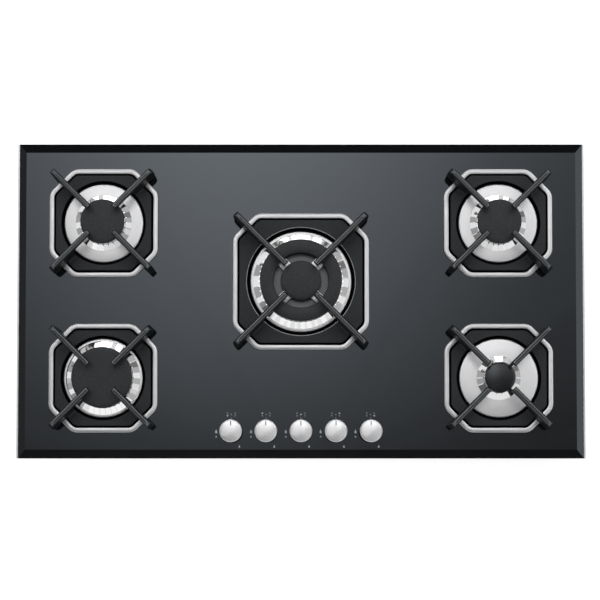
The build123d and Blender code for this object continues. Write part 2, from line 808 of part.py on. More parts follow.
thread_top = inlet_lift + inlet_thread_length
with BuildPart() as inlet_elbow:
    with BuildSketch(Plane.XY.offset(inlet_lift)):
        with Locations((rail_turn_x, inlet_y)):
            Circle(inlet_thread_radius)
    extrude(amount=inlet_thread_length)
    with BuildSketch(Plane.XY.offset(thread_top)):
        with Locations((rail_turn_x, inlet_y)):
            RegularPolygon(inlet_hex / 2, hex_sides, major_radius=False)
    extrude(amount=inlet_collar)
    with BuildSketch(Plane.XY.offset(thread_top + inlet_collar)):
        with Locations((rail_turn_x, inlet_y - elbow_arm / 2 + elbow_size / 4)):
            Rectangle(elbow_size, elbow_arm + elbow_size / 2)
    extrude(amount=rail_z + elbow_size / 2 - thread_top - inlet_collar)
    with BuildSketch(Plane.XZ.offset(-socket_mouth_y)):
        with Locations((rail_turn_x, rail_z)):
            Rectangle(rail_size, rail_size)
    extrude(amount=-elbow_socket, mode=Mode.SUBTRACT)
    with BuildSketch(Plane.XZ.offset(-rail_end_y)):
        with Locations((rail_turn_x, rail_z)):
            Rectangle(rail_size - 2 * rail_wall, rail_size - 2 * rail_wall)
    extrude(amount=rail_end_y - inlet_y, mode=Mode.SUBTRACT)
    with BuildSketch(Plane.XY.offset(inlet_lift)):
        with Locations((rail_turn_x, inlet_y)):
            RegularPolygon(inlet_bore_radius, hex_sides)
    extrude(amount=rail_z - inlet_lift, mode=Mode.SUBTRACT)
save(inlet_elbow.part, "inlet_elbow")

# ================================================================ taps and knobs
tongue_bottom = plug_top - tongue_engagement
pocket_bottom = tongue_bottom - press_travel - free_gap
spindle_shoulder = plug_top + press_travel + free_gap
knob_bottom = deck + knob_lift
knob_top = knob_bottom + knob_height


def control_level(x, height):
    """Horizontal plane through a control's axis at a height."""
    return Plane(origin=(x, knob_y, height))


def d_section(radius, flat):
    """Round shaft section with one flat, towards -Y."""
    with BuildSketch(mode=Mode.PRIVATE) as outline:
        Circle(radius)
        with Locations((0, -flat - radius)):
            Rectangle(2 * radius, 2 * radius, mode=Mode.SUBTRACT)
    return outline.sketch


rail_back_y = rail_y + rail_size / 2
tap_depth = tap_back_y - rail_back_y
tap_centre_y = (tap_back_y + rail_back_y) / 2

with BuildPart() as tap_bodies:
    for feed in feeds:
        with BuildSketch(Plane.XY.offset(tap_bottom)):
            with Locations((feed.x, tap_centre_y)):
                Rectangle(tap_width, tap_depth)
        extrude(amount=tap_top - tap_bottom)
        with BuildSketch(Plane.XY.offset(pipe_z - outlet_size / 2)):
            with Locations((feed.outlet.X, feed.outlet.Y)):
                Rectangle(outlet_size, outlet_size, rotation=feed.heading)
        extrude(amount=outlet_size)
        with BuildSketch(control_level(feed.x, plug_bottom - free_gap)):
            Circle(plug_radius + running_gap)
        extrude(amount=tap_top, mode=Mode.SUBTRACT)
save(tap_bodies.part, "tap_bodies")

with BuildPart() as tap_covers:
    for x in tap_positions:
        with BuildSketch(Plane.XY.offset(tap_top)):
            with Locations((x, tap_centre_y)):
                Rectangle(tap_width, tap_depth)
            with Locations((x, knob_y)):
                Circle(spindle_radius + running_gap, mode=Mode.SUBTRACT)
        extrude(amount=cover_height)
save(tap_covers.part, "tap_covers")

for number, x in enumerate(tap_positions, start=1):
    with BuildPart() as tap_plug:
        with BuildSketch(control_level(x, plug_bottom)):
            Circle(plug_radius)
        extrude(amount=plug_top - plug_bottom)
        with BuildSketch(control_level(x, pocket_bottom)):
            Rectangle(tongue_width + 2 * pocket_gap, tongue_thickness + 2 * pocket_gap)
        extrude(amount=plug_top - pocket_bottom, mode=Mode.SUBTRACT)
    save(tap_plug.part, f"tap_plug_{number}")

    with BuildPart() as spindle:
        with BuildSketch(control_level(x, spindle_shoulder)):
            add(d_section(spindle_radius, spindle_flat))
        extrude(amount=knob_bottom + socket_depth - spindle_end_gap - spindle_shoulder)
        with BuildSketch(control_level(x, tongue_bottom)):
            Rectangle(tongue_width, tongue_thickness)
        extrude(amount=spindle_shoulder - tongue_bottom)
    save(spindle.part, f"spindle_{number}")

    with BuildPart() as knob:
        with BuildSketch(control_level(x, knob_bottom)):
            Circle(knob_radius)
        extrude(amount=knob_height)
        # sloping facets, left and right
        for side in (-1, 1):
            with BuildSketch(Plane.XZ.offset(-knob_y)):
                with BuildLine():
                    Polyline(
                        (x + side * knob_radius, knob_top - facet_drop),
                        (x + side * (knob_radius - facet_width), knob_top),
                        (x + side * knob_radius, knob_top),
                        close=True,
                    )
                make_face()
            extrude(amount=knob_radius, both=True, mode=Mode.SUBTRACT)
        with BuildSketch(control_level(x, knob_top - pointer_depth)):
            with Locations((0, knob_radius - pointer_inset - pointer_length / 2)):
                Rectangle(pointer_width, pointer_length)
        extrude(amount=pointer_depth, mode=Mode.SUBTRACT)
        with BuildSketch(control_level(x, knob_bottom)):
            add(d_section(spindle_radius + running_gap, spindle_flat + running_gap))
        extrude(amount=socket_depth, mode=Mode.SUBTRACT)
    save(knob.part, f"knob_{number}")

# ================================================================ electrics
with BuildPart() as ignition_module:
    with BuildSketch(Plane.XY.offset(tray_sheet)):
        with Locations((module_x, module_y)):
            Rectangle(module_width, module_depth)
    extrude(amount=module_height)
save(ignition_module.part, "ignition_module")

wall_outer = tray_depth / 2
wall_inner = wall_outer - tray_sheet
with BuildPart() as mains_grommet:
    flange_size = grommet_size + 2 * grommet_flange
    for face_y, size, depth in (
        (wall_inner - grommet_flange, flange_size, grommet_flange),
        (wall_inner, grommet_size, tray_sheet),
        (wall_outer, flange_size, grommet_flange),
    ):
        with BuildSketch(Plane.XZ.offset(-face_y)):
            with Locations((grommet_x, grommet_z)):
                Rectangle(size, size)
                Rectangle(grommet_bore, grommet_bore, mode=Mode.SUBTRACT)
        extrude(amount=-depth)
save(mains_grommet.part, "mains_grommet")
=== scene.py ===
from collections import namedtuple
from math import atan2, cos, hypot, pi, radians, sin, sqrt, tan

import bmesh
import bpy
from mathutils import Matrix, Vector


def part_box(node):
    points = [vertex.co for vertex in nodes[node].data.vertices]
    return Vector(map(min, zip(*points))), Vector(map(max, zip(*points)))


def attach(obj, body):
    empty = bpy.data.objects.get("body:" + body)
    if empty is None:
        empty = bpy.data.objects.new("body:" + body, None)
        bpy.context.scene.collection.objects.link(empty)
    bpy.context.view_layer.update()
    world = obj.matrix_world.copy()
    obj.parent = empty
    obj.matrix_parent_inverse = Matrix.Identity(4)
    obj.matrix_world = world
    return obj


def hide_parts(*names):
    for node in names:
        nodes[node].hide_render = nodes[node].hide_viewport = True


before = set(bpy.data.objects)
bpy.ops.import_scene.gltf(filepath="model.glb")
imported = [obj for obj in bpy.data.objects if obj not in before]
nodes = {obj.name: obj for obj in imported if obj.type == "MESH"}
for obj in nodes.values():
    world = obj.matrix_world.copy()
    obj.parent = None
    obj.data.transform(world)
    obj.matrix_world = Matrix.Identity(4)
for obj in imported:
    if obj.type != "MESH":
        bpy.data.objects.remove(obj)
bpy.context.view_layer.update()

MM = 0.001

# ---------------------------------------------------------------- levels and places, in mm
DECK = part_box("glass_top")[1].z / MM  # top of the glass; the rises below count from it
DISC_RISE = 2.0
SEAT_RISE = 2.4  # underside of the crowns
CHAMBER_RISE = 6.0  # floor inside the crowns
CROWN_RISE = 19.0
CAP_SEAT = 19.3
CAP_RIM = 22.7  # where a cap's rolled edge meets its dome
REST = DECK + 44.0  # where a pan stands
CAP_OVERHANG = 0.8

SIDE_X, SIDE_Y, SIDE_DISC = 312.5, 123.0, 62.7
CROWN_BORE = 8.0
CENTRE_CAP, RING_INNER = 64.8, 43.3  # outer and inner radius of the middle burner's ring cap
RING_BORE = RING_INNER + CAP_OVERHANG
RING_LEDGE = 4.0  # width of the low ledge inside the ring's wall
CENTRE_WALL = CENTRE_CAP - CAP_OVERHANG - RING_BORE - RING_LEDGE
INNER_CAP, INNER_DOME = 31.0, 23.8  # the small cap inside the ring
INNER_CROWN = INNER_CAP - CAP_OVERHANG

Burner = namedtuple("Burner", "x y cap skirt disc wall bore ports dome")
BURNERS = {
    # centre, radii of cap, skirt and disc, ported wall's thickness, bore, ports, rise of the cap's top
    "rear_left": Burner(-SIDE_X, SIDE_Y, 35.0, 44.6, SIDE_DISC, 8.0, CROWN_BORE, 28, 23.8),
    "rear_right": Burner(SIDE_X, SIDE_Y, 35.0, 44.6, SIDE_DISC, 8.0, CROWN_BORE, 28, 23.8),
    "centre": Burner(0.0, 30.0, CENTRE_CAP, 75.4, 80.3, CENTRE_WALL, RING_BORE, 52, 23.4),
    "front_left": Burner(-SIDE_X, -SIDE_Y, 48.0, 58.7, SIDE_DISC, 8.0, CROWN_BORE, 38, 23.2),
    "front_right": Burner(SIDE_X, -SIDE_Y, 24.4, 35.0, SIDE_DISC, 7.0, CROWN_BORE, 18, 24.5),
}
CENTRE_AT = (BURNERS["centre"].x, BURNERS["centre"].y)

Support = namedtuple("Support", "plate_half opening leg")
SUPPORTS = {name: Support(75.25, 67.0, 111.5) for name in BURNERS}
SUPPORTS["centre"] = Support(97.3, 85.5, 146.5)

KNOB_PITCH, KNOB_Y = 55.0, -207.0
KNOB_XS = [KNOB_PITCH * place for place in range(-2, 3)]


# ---------------------------------------------------------------- mesh helpers
def smooth_by_angle(mesh, degrees):
    mesh.shade_smooth()
    mesh.set_sharp_from_angle(angle=radians(degrees))


def new_object(name, mesh, at=(0.0, 0.0)):
    ob = bpy.data.objects.new(name, mesh)
    ob.location = (at[0] * MM, at[1] * MM, 0.0)
    bpy.context.scene.collection.objects.link(ob)
    return ob


def mesh_from(name, verts, faces):
    """Mesh from vertices in mm."""
    mesh = bpy.data.meshes.new(name)
    mesh.from_pydata([(x * MM, y * MM, z * MM) for x, y, z in verts], [], faces)
    mesh.validate()
    bm = bmesh.new()
    bm.from_mesh(mesh)
    bmesh.ops.recalc_face_normals(bm, faces=bm.faces)
    bm.to_mesh(mesh)
    bm.free()
    return mesh


def arc(cx, cz, r, a0, a1, steps):
    """Points on an arc in a half section, angles in degrees."""
    return [
        (cx + r * cos(radians(a0 + (a1 - a0) * i / steps)),
         cz + r * sin(radians(a0 + (a1 - a0) * i / steps)))
        for i in range(steps + 1)
    ]


def over_glass(profile):
    """A half section whose heights were given over the glass."""
    return [(r, DECK + rise) for r, rise in profile]


def lathe_mesh(name, profile, segments=128):
    """Solid of revolution. The profile runs round the section; points at radius 0 become poles."""
    verts, rings = [], []
    for r, z in profile:
        if r < 1e-6:
            rings.append([len(verts)] * segments)
            verts.append((0.0, 0.0, z))
        else:
            rings.append(list(range(len(verts), len(verts) + segments)))
            for k in range(segments):
                a = 2 * pi * k / segments
                verts.append((r * cos(a), r * sin(a), z))
    faces = []
    count = len(profile)
    for i in range(count):
        a, b = rings[i], rings[(i + 1) % count]
        if a[0] == a[-1] and b[0] == b[-1]:
            continue
        for k in range(segments):
            n = (k + 1) % segments
            quad = [a[k], a[n], b[n], b[k]]
            face = [v for j, v in enumerate(quad) if v != quad[j - 1]]
            if len(set(face)) >= 3:
                faces.append(face)
    return mesh_from(name, verts, faces)


def apply_modifiers(ob):
    """Turn an object's modifiers into its mesh."""
    dg = bpy.context.evaluated_depsgraph_get()
    done = bpy.data.meshes.new_from_object(ob.evaluated_get(dg))
    ob.modifiers.clear()
    ob.data = done


def cut(ob, cutter_mesh):
    """Subtract a mesh that is given in ob's own coordinates."""
    tool = bpy.data.objects.new("cutter", cutter_mesh)
    tool.location = ob.location
    bpy.context.scene.collection.objects.link(tool)
    bpy.context.view_layer.update()
    mod = ob.modifiers.new("cut", "BOOLEAN")
    mod.operation = "DIFFERENCE"
    mod.solver = "EXACT"
    mod.object = tool
    apply_modifiers(ob)
    bpy.data.objects.remove(tool)


def prism(points, z0, z1):
    """Vertices and faces of an upright prism over a plan outline."""
    n = len(points)
    verts = [(x, y, z0) for x, y in points] + [(x, y, z1) for x, y in points]
    faces = [list(range(n))[::-1], list(range(n, 2 * n))]
    faces += [[i, (i + 1) % n, n + (i + 1) % n, n + i] for i in range(n)]
    return verts, faces


def joined(shapes):
    """One list of vertices and faces from several."""
    verts, faces = [], []
    for v, f in shapes:
        base = len(verts)
        verts += v
        faces += [[i + base for i in face] for face in f]
    return verts, faces


def band(rings):
    """Vertices and faces of a closed band through loops of equal count, the last joined to the first."""
    verts = [v for ring in rings for v in ring]
    n, m = len(rings[0]), len(rings)
    faces = []
    for i in range(m):
        j = (i + 1) % m
        faces += [[i * n + k, i * n + (k + 1) % n, j * n + (k + 1) % n, j * n + k] for k in range(n)]
    return verts, faces


def at_height(points, z):
    return [(x, y, z) for x, y in points]


def circle_points(cx, cy, r, count=20):
    return [(cx + r * cos(2 * pi * k / count), cy + r * sin(2 * pi * k / count)) for k in range(count)]


def upright_bar(half_width, y0, y1, x=0.0):
    """Plan points of a rectangle that runs along Y."""
    return [(x - half_width, y0), (x + half_width, y0), (x + half_width, y1), (x - half_width, y1)]


# ---------------------------------------------------------------- material helpers
class Wires:
    """Short ways to add and link the nodes of one shader tree."""

    def __init__(self, tree):
        self.tree = tree

    def node(self, kind, **inputs):
        made = self.tree.nodes.new(kind)
        for key, value in inputs.items():
            made.inputs[key].default_value = value
        return made

    def link(self, out, socket):
        self.tree.links.new(out, socket)

    def parts(self, vector):
        """The x, y and z of a vector."""
        split = self.node("ShaderNodeSeparateXYZ")
        self.link(vector, split.inputs[0])
        return split.outputs

    def math(self, operation, a, b=None):
        n = self.node("ShaderNodeMath")
        n.operation = operation
        for i, value in enumerate((a, b)):
            if isinstance(value, (int, float)):
                n.inputs[i].default_value = value
            elif value is not None:
                self.link(value, n.inputs[i])
        return n.outputs[0]

    def total(self, first, *others):
        for value in others:
            first = self.math("ADD", first, value)
        return first

    def product(self, first, *others):
        for value in others:
            first = self.math("MULTIPLY", first, value)
        return first

    def length(self, x, y):
        return self.math("SQRT", self.total(self.product(x, x), self.product(y, y)))

    def ramp(self, value, low, high, at_low=0.0, at_high=1.0, kind="SMOOTHSTEP"):
        """One number at low and another at high, with a soft or a LINEAR change between them."""
        n = self.node("ShaderNodeMapRange")
        n.interpolation_type = kind
        for socket, number in (("From Min", low), ("From Max", high),
                               ("To Min", at_low), ("To Max", at_high)):
            n.inputs[socket].default_value = number
        self.link(value, n.inputs["Value"])
        return n.outputs["Result"]

    def by_ray(self, ray, shader, other):
        """A shader that gives way to another for one kind of ray."""
        mix = self.node("ShaderNodeMixShader")
        self.link(self.node("ShaderNodeLightPath").outputs[ray], mix.inputs[0])
        self.link(shader, mix.inputs[1])
        self.link(other, mix.inputs[2])
        return mix.outputs[0]


MIX_A, MIX_B, MIX_RESULT = 6, 7, 2  # a Mix node's sockets for colour
NOISE_LOW, NOISE_HIGH = 0.25, 0.75  # where nearly all of a noise lies


class Mat(Wires):
    """A Principled material and short ways to vary it."""

    def __init__(self, name, base, metallic=0.0, roughness=0.5, ior=1.5, aniso=0.0):
        self.mat = bpy.data.materials.new(name)
        self.mat.use_nodes = True
        super().__init__(self.mat.node_tree)
        self.bsdf = self.tree.nodes["Principled BSDF"]
        self.set("Base Color", (*base, 1.0))
        self.set("Metallic", metallic)
        self.set("Roughness", roughness)
        self.set("IOR", ior)
        self.set("Anisotropic", aniso)
        self.base = base
        self.coords = self.node("ShaderNodeTexCoord").outputs["Object"]

    def set(self, socket, value):
        self.bsdf.inputs[socket].default_value = value

    def scaled(self, scale):
        """Object coordinates times one number or three, in cycles per metre."""
        if isinstance(scale, float):
            scale = (scale, scale, scale)
        n = self.node("ShaderNodeMapping", Scale=scale)
        self.link(self.coords, n.inputs["Vector"])
        return n.outputs["Vector"]

    def polar(self, around, across):
        """Seamless brushing coordinates about the object's own Z axis."""
        x, y, z = self.parts(self.coords)
        r = self.length(x, y)
        safe = self.math("MAXIMUM", r, 1e-5)
        join = self.node("ShaderNodeCombineXYZ")
        self.link(self.product(self.math("DIVIDE", x, safe), around), join.inputs[0])
        self.link(self.product(self.math("DIVIDE", y, safe), around), join.inputs[1])
        self.link(self.product(self.total(r, z), across), join.inputs[2])
        return join.outputs[0]

    def noise(self, vector, detail=3.0, rough=0.55):
        n = self.node("ShaderNodeTexNoise", Scale=1.0, Detail=detail, Roughness=rough)
        self.link(vector, n.inputs["Vector"])
        return n.outputs["Fac"]

    def grain(self, scale, detail=3.0, rough=0.55):
        """Noise on the object's own coordinates."""
        return self.noise(self.scaled(scale), detail, rough)

    def ranged(self, noise, low, high):
        return self.ramp(noise, NOISE_LOW, NOISE_HIGH, low, high, "LINEAR")

    def roughness_from(self, noise, low, high):
        self.link(self.ranged(noise, low, high), self.bsdf.inputs["Roughness"])

    def colour_from(self, noise, low, high):
        """Base colour between two shades of itself."""
        n = self.node("ShaderNodeMix")
        n.data_type = "RGBA"
        n.inputs[MIX_A].default_value = (*[c * low for c in self.base], 1.0)
        n.inputs[MIX_B].default_value = (*[min(1.0, c * high) for c in self.base], 1.0)
        self.link(self.ranged(noise, 0.0, 1.0), n.inputs[0])
        self.link(n.outputs[MIX_RESULT], self.bsdf.inputs["Base Color"])

    def bump_from(self, noise, strength, depth):
        """Relief of a depth in metres."""
        n = self.node("ShaderNodeBump", Strength=strength, Distance=depth)
        self.link(noise, n.inputs["Height"])
        self.link(n.outputs["Normal"], self.bsdf.inputs["Normal"])

    def radial_tangent(self):
        n = self.node("ShaderNodeTangent")
        n.direction_type = "RADIAL"
        n.axis = "Z"
        self.link(n.outputs[0], self.bsdf.inputs["Tangent"])


ENAMEL_TINT = (0.90, 0.96, 1.0, 1.0)  # black enamel reflects a little blue
GLASS_TINT = (0.83, 0.91, 1.0, 1.0)


def glass_material():
    """Black glass with a trace of smudging."""
    m = Mat("black_glass", (0.0035, 0.0038, 0.0042), roughness=0.02, ior=1.54)
    m.set("Specular Tint", GLASS_TINT)
    m.roughness_from(m.grain((6.0, 9.0, 6.0), detail=5.0), 0.012, 0.045)
    m.colour_from(m.grain(40.0), 0.85, 1.15)
    return m.mat


def satin_material(name, shade, roughness):
    """Satin metal with a fine all-over grain."""
    m = Mat(name, shade, metallic=1.0, roughness=roughness)
    fine = m.grain(900.0, detail=2.0)
    m.roughness_from(m.grain(18.0, detail=4.0), roughness * 0.85, roughness * 1.15)
    m.colour_from(fine, 0.95, 1.04)
    m.bump_from(fine, 0.06, 0.0001)
    return m.mat


def turned_material(name, shade, roughness, aniso, contrast=0.05, bump=0.1):
    """Metal with brushing that runs round the piece's own axis."""
    m = Mat(name, shade, metallic=1.0, roughness=roughness, aniso=aniso)
    lines = m.noise(m.polar(2.5, 2600.0))
    m.roughness_from(lines, roughness * 0.8, roughness * 1.25)
    m.colour_from(lines, 1.0 - contrast, 1.0 + contrast)
    m.bump_from(lines, bump, 0.00005)
    m.radial_tangent()
    return m.mat


def enamel_material(name, shade, roughness, grain, bump):
    """Fired enamel: a fine pitted skin over cast or pressed metal."""
    m = Mat(name, (shade, shade * 1.05, shade * 1.12), roughness=roughness)
    m.set("Specular IOR Level", 0.4)
    m.set("Specular Tint", ENAMEL_TINT)
    fine = m.grain(grain, detail=4.0, rough=0.6)
    m.roughness_from(m.grain(14.0, detail=4.0), roughness * 0.88, roughness * 1.12)
    m.colour_from(fine, 0.4, 1.8)
    m.bump_from(fine, bump, 0.0003)
    return m.mat


IRON_LOW, IRON_HIGH = (DECK + 7.0) * MM, (DECK + 26.0) * MM  # from the plate to the arms


def iron_material(name, base, roughness, specular):
    """Enamelled casting; the pairs are for the plate and for the tops of the arms."""
    m = Mat(name, base)
    m.set("Specular Tint", ENAMEL_TINT)
    fine = m.grain(420.0, detail=4.0, rough=0.65)
    m.colour_from(fine, 0.35, 1.9)
    height = m.parts(m.coords)[2]
    for pair, target in ((roughness, "Roughness"), (specular, "Specular IOR Level")):
        m.link(m.ramp(height, IRON_LOW, IRON_HIGH, *pair, "LINEAR"), m.bsdf.inputs[target])
    m.bump_from(fine, 0.22, 0.0003)
    return m.mat


def plated_material():
    """Zinc-coated sheet with a faint spangle."""
    m = Mat("tray_steel", (0.56, 0.57, 0.58), metallic=1.0, roughness=0.42)
    cells = m.node("ShaderNodeTexVoronoi", Scale=1.0)
    m.link(m.scaled(90.0), cells.inputs["Vector"])
    split = m.node("ShaderNodeSeparateColor")
    m.link(cells.outputs["Color"], split.inputs[0])
    m.colour_from(split.outputs[0], 0.9, 1.08)
    m.roughness_from(split.outputs[1], 0.36, 0.5)
    m.bump_from(m.grain(400.0), 0.05, 0.0001)
    return m.mat


def rubber_material(name, shade):
    m = Mat(name, (shade, shade, shade), roughness=0.7)
    fine = m.grain(1500.0)
    m.colour_from(fine, 0.8, 1.25)
    m.bump_from(fine, 0.15, 0.0001)
    return m.mat


def plain_material(name, shade, roughness, metallic=0.0, grain=600.0, contrast=0.08, specular=0.5):
    m = Mat(name, shade, metallic=metallic, roughness=roughness)
    m.set("Specular IOR Level", specular)
    fine = m.grain(grain)
    m.colour_from(fine, 1.0 - contrast, 1.0 + contrast)
    m.roughness_from(m.grain(30.0), roughness * 0.85, roughness * 1.15)
    m.bump_from(fine, 0.08, 0.0001)
    return m.mat


GLASS = glass_material()
SATIN = satin_material("satin_aluminium", (0.62, 0.62, 0.63), 0.38)
DISC = turned_material("disc_steel", (0.74, 0.74, 0.75), 0.42, 0.1)
SKIRT = turned_material("crown_aluminium", (0.93, 0.93, 0.94), 0.07, 0.0, contrast=0.02, bump=0.01)
CHANNEL = turned_material("crown_channel", (0.12, 0.125, 0.128), 0.4, 0.0, contrast=0.25)
KNOB = turned_material("knob_metal", (0.82, 0.82, 0.83), 0.38, 0.75, contrast=0.06)
CAP = enamel_material("black_enamel", 0.012, 0.46, 420.0, 0.3)
GLOSSY_CAP = enamel_material("black_enamel_gloss", 0.010, 0.2, 900.0, 0.06)
IRON = iron_material("cast_iron", (0.010, 0.0108, 0.012), (0.56, 0.36), (0.40, 0.14))
RIDGE = iron_material("cast_iron_ridge", (0.011, 0.0118, 0.013), (0.4, 0.34), (0.42, 0.42))
# ridges' edges and arms' tips: glossier enamel, and a paler colour that is a painted highlight
ARRIS_HIGHLIGHT = iron_material("cast_iron_arris_highlight", (0.042, 0.044, 0.047), (0.3, 0.22), (1.0, 1.0))
# rim of the middle plate's opening: light grey, a painted highlight line
RIM_HIGHLIGHT = iron_material("cast_iron_rim_highlight", (0.26, 0.265, 0.27), (0.35, 0.35), (1.0, 1.0))
# near-black, barely reflecting sheet: painted shade for the gaps around discs and plates
GAP_SHADE = plain_material("black_gap_shade", (0.0012, 0.0012, 0.0013), 0.9, specular=0.03)
TRAY = plated_material()
SEAL = rubber_material("seal_rubber", 0.02)
FOOT = rubber_material("foot_rubber", 0.018)
KNOB_SEAL = rubber_material("knob_seal", 0.012)
CERAMIC = plain_material("ceramic", (0.82, 0.80, 0.76), 0.28)
PROBE = plain_material("probe_steel", (0.55, 0.54, 0.53), 0.35, metallic=1.0)
BOLT = plain_material("bolt_steel", (0.6, 0.6, 0.6), 0.35, metallic=1.0)
BRASS = plain_material("brass", (0.72, 0.52, 0.25), 0.33, metallic=1.0)
PIPE = plain_material("pipe_aluminium", (0.72, 0.72, 0.73), 0.4, metallic=1.0)
RAIL = plain_material("rail_steel", (0.6, 0.61, 0.62), 0.4, metallic=1.0)
PLASTIC = plain_material("black_plastic", (0.02, 0.02, 0.021), 0.5)
SPINDLE = plain_material("spindle_steel", (0.6, 0.6, 0.6), 0.3, metallic=1.0)
PRINT = plain_material("mark_print", (0.42, 0.45, 0.47), 0.6, grain=2500.0, contrast=0.12)
CAST = plain_material("cast_aluminium", (0.58, 0.58, 0.59), 0.5, metallic=1.0)
POINTER = plain_material("pointer_ink", (0.05, 0.05, 0.055), 0.5)
BODY = plain_material("knob_body", (0.003, 0.003, 0.0032), 0.6, specular=0.1)


def finish_piece(ob, material, body, replaces=(), degrees=32.0):
    ob.data.materials.clear()
    ob.data.materials.append(material)
    smooth_by_angle(ob.data, degrees)
    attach(ob, body)
    if replaces:
        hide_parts(*replaces)


def shared_node(name, node):
    """What a burner's piece replaces where the CAD has one solid for all five burners."""
    return (node,) if node and name == "centre" else ()


# ---------------------------------------------------------------- CAD nodes that stay
KEEP = {
    "glass_top": GLASS, "side_trim_left": SATIN, "side_trim_right": SATIN,
    "perimeter_seal": SEAL, "lower_tray": TRAY, "burner_bases": CAST,
    "burner_carriers": TRAY, "carrier_bolts": BOLT, "injector_holders": CAST,
    "injectors": BRASS, "feed_pipes": PIPE, "gas_rail": RAIL, "rail_brackets": TRAY,
    "inlet_elbow": RAIL, "tap_bodies": CAST, "tap_covers": TRAY,
    "ignition_module": PLASTIC, "mains_grommet": SEAL,
}
for number in range(1, len(KNOB_XS) + 1):
    KEEP[f"tap_plug_{number}"] = BRASS
    KEEP[f"spindle_{number}"] = SPINDLE
for name in BURNERS:
    KEEP[f"pan_support_feet_{name}"] = FOOT
    KEEP[f"pan_support_{name}"] = IRON
for node, material in KEEP.items():
    data = nodes[node].data
    data.materials.clear()
    data.materials.append(material)


# ---------------------------------------------------------------- burner caps
CAP_EDGE, RING_EDGE = 1.7, 1.5  # radius of the rolled edge
SEAT_INSET = 3.0  # of a round cap's flat underside from the rim
RING_INSET = 0.3  # of the ring cap's underside from its inner rim
FOOT_INSET, FOOT_RISE = 0.5, 0.3  # where the underside meets the rolled edge


def cap_profile(radius, dome):
    """Half section of a round cap with a rolled edge and a low dome."""
    seat, rim, top = DECK + CAP_SEAT, DECK + CAP_RIM, DECK + dome
    flat = radius - CAP_EDGE
    points = [(0.0, seat), (radius - SEAT_INSET, seat), (radius - FOOT_INSET, seat + FOOT_RISE)]
    points += arc(flat, rim - CAP_EDGE, CAP_EDGE, -20, 78, 6)
    steps = 9
    for i in range(1, steps + 1):
        out = 1 - i / steps
        points.append((flat * out, top - (top - rim) * out ** 2))
    return points


def ring_profile(inner, outer, crown):
    """Half section of a ring cap, rolled at both edges and a little higher between them."""
    seat, rim, top = DECK + CAP_SEAT, DECK + CAP_RIM, DECK + crown
    start, end = outer - RING_EDGE, inner + RING_EDGE
    points = [(inner + RING_INSET, seat), (outer - FOOT_INSET, seat + FOOT_RISE)]
    points += arc(start, rim - RING_EDGE, RING_EDGE, -20, 80, 6)
    steps = 6
    for i in range(1, steps):
        t = i / steps
        points.append((start + (end - start) * t, rim + (top - rim) * 4 * t * (1 - t)))
    points += arc(end, rim - RING_EDGE, RING_EDGE, 100, 200, 6)
    return points


for name, burner in BURNERS.items():
    if name == "centre":
        continue
    cap = new_object(f"cap_{name}", lathe_mesh("cap", cap_profile(burner.cap, burner.dome)),
                     (burner.x, burner.y))
    finish_piece(cap, GLOSSY_CAP if name == "front_right" else CAP, f"cap_{name}",
                 (f"burner_cap_{name}",))

cap = new_object("cap_centre_inner", lathe_mesh("cap", cap_profile(INNER_CAP, INNER_DOME)), CENTRE_AT)
finish_piece(cap, CAP, "cap_centre_inner", ("burner_cap_centre_inner",))
ring = lathe_mesh("cap", ring_profile(RING_INNER, CENTRE_CAP, BURNERS["centre"].dome), 160)
cap = new_object("cap_centre_ring", ring, CENTRE_AT)
finish_piece(cap, CAP, "cap_centre_ring", ("burner_cap_centre_ring",))


# ---------------------------------------------------------------- crowns
def ported_mesh(name, solid, slot, ports, width, radius, spans=2):
    """Ring whose section is solid between the ports and slot inside them.

    Both sections have the same number of points; where they differ, the radial walls of the
    port close the step. The solid stretch from port to port is divided into spans.
    """
    pitch = 2 * pi / ports
    half = width / 2 / radius
    angles = []
    for p in range(ports):
        a = p * pitch
        angles.append((a - half, a + half, "slot"))
        start, end = a + half, a + pitch - half
        for i in range(spans):
            angles.append((start + (end - start) * i / spans,
                           start + (end - start) * (i + 1) / spans, "solid"))
    verts, faces = [], []
    count = len(solid)
    moved = [i for i in range(count) if solid[i] != slot[i]]
    first, last = moved[0] - 1, moved[-1] + 1
    shared = {}

    def column(a, kind):
        """Vertices of one section at an angle; the points that both sections have are shared."""
        key = (round(a % (2 * pi), 6), kind)
        if key in shared:
            return shared[key]
        section = solid if kind == "solid" else slot
        other = shared.get((key[0], "slot" if kind == "solid" else "solid"))
        ids = []
        for i, (r, z) in enumerate(section):
            if other is not None and i not in moved:
                ids.append(other[i])
            else:
                ids.append(len(verts))
                verts.append((r * cos(a), r * sin(a), z))
        shared[key] = ids
        return ids

    for a0, a1, kind in angles:
        c0, c1 = column(a0, kind), column(a1, kind)
        for i in range(count):
            n = (i + 1) % count
            faces.append([c0[i], c1[i], c1[n], c0[n]])
    for p in range(ports):
        for a in (p * pitch - half, p * pitch + half):
            s, t = column(a, "solid"), column(a, "slot")
            faces.append([s[i] for i in range(first, last + 1)]
                         + [t[i] for i in range(last - 1, first, -1)])
    return mesh_from(name, verts, faces)


SKIRT_SLOPE = 0.68  # rise over run of the polished skirt
SKIRT_FOOT, SKIRT_EDGE, SKIRT_LIP = 0.3, 0.6, 0.3
PORT_SILL, PORT_WIDTH = 1.2, 1.2  # depth of the ports' floor below the skirt's top, and their width
CROWN_BEVEL = 0.4
POINT_GAP = 0.01  # keeps neighbouring points of a section apart


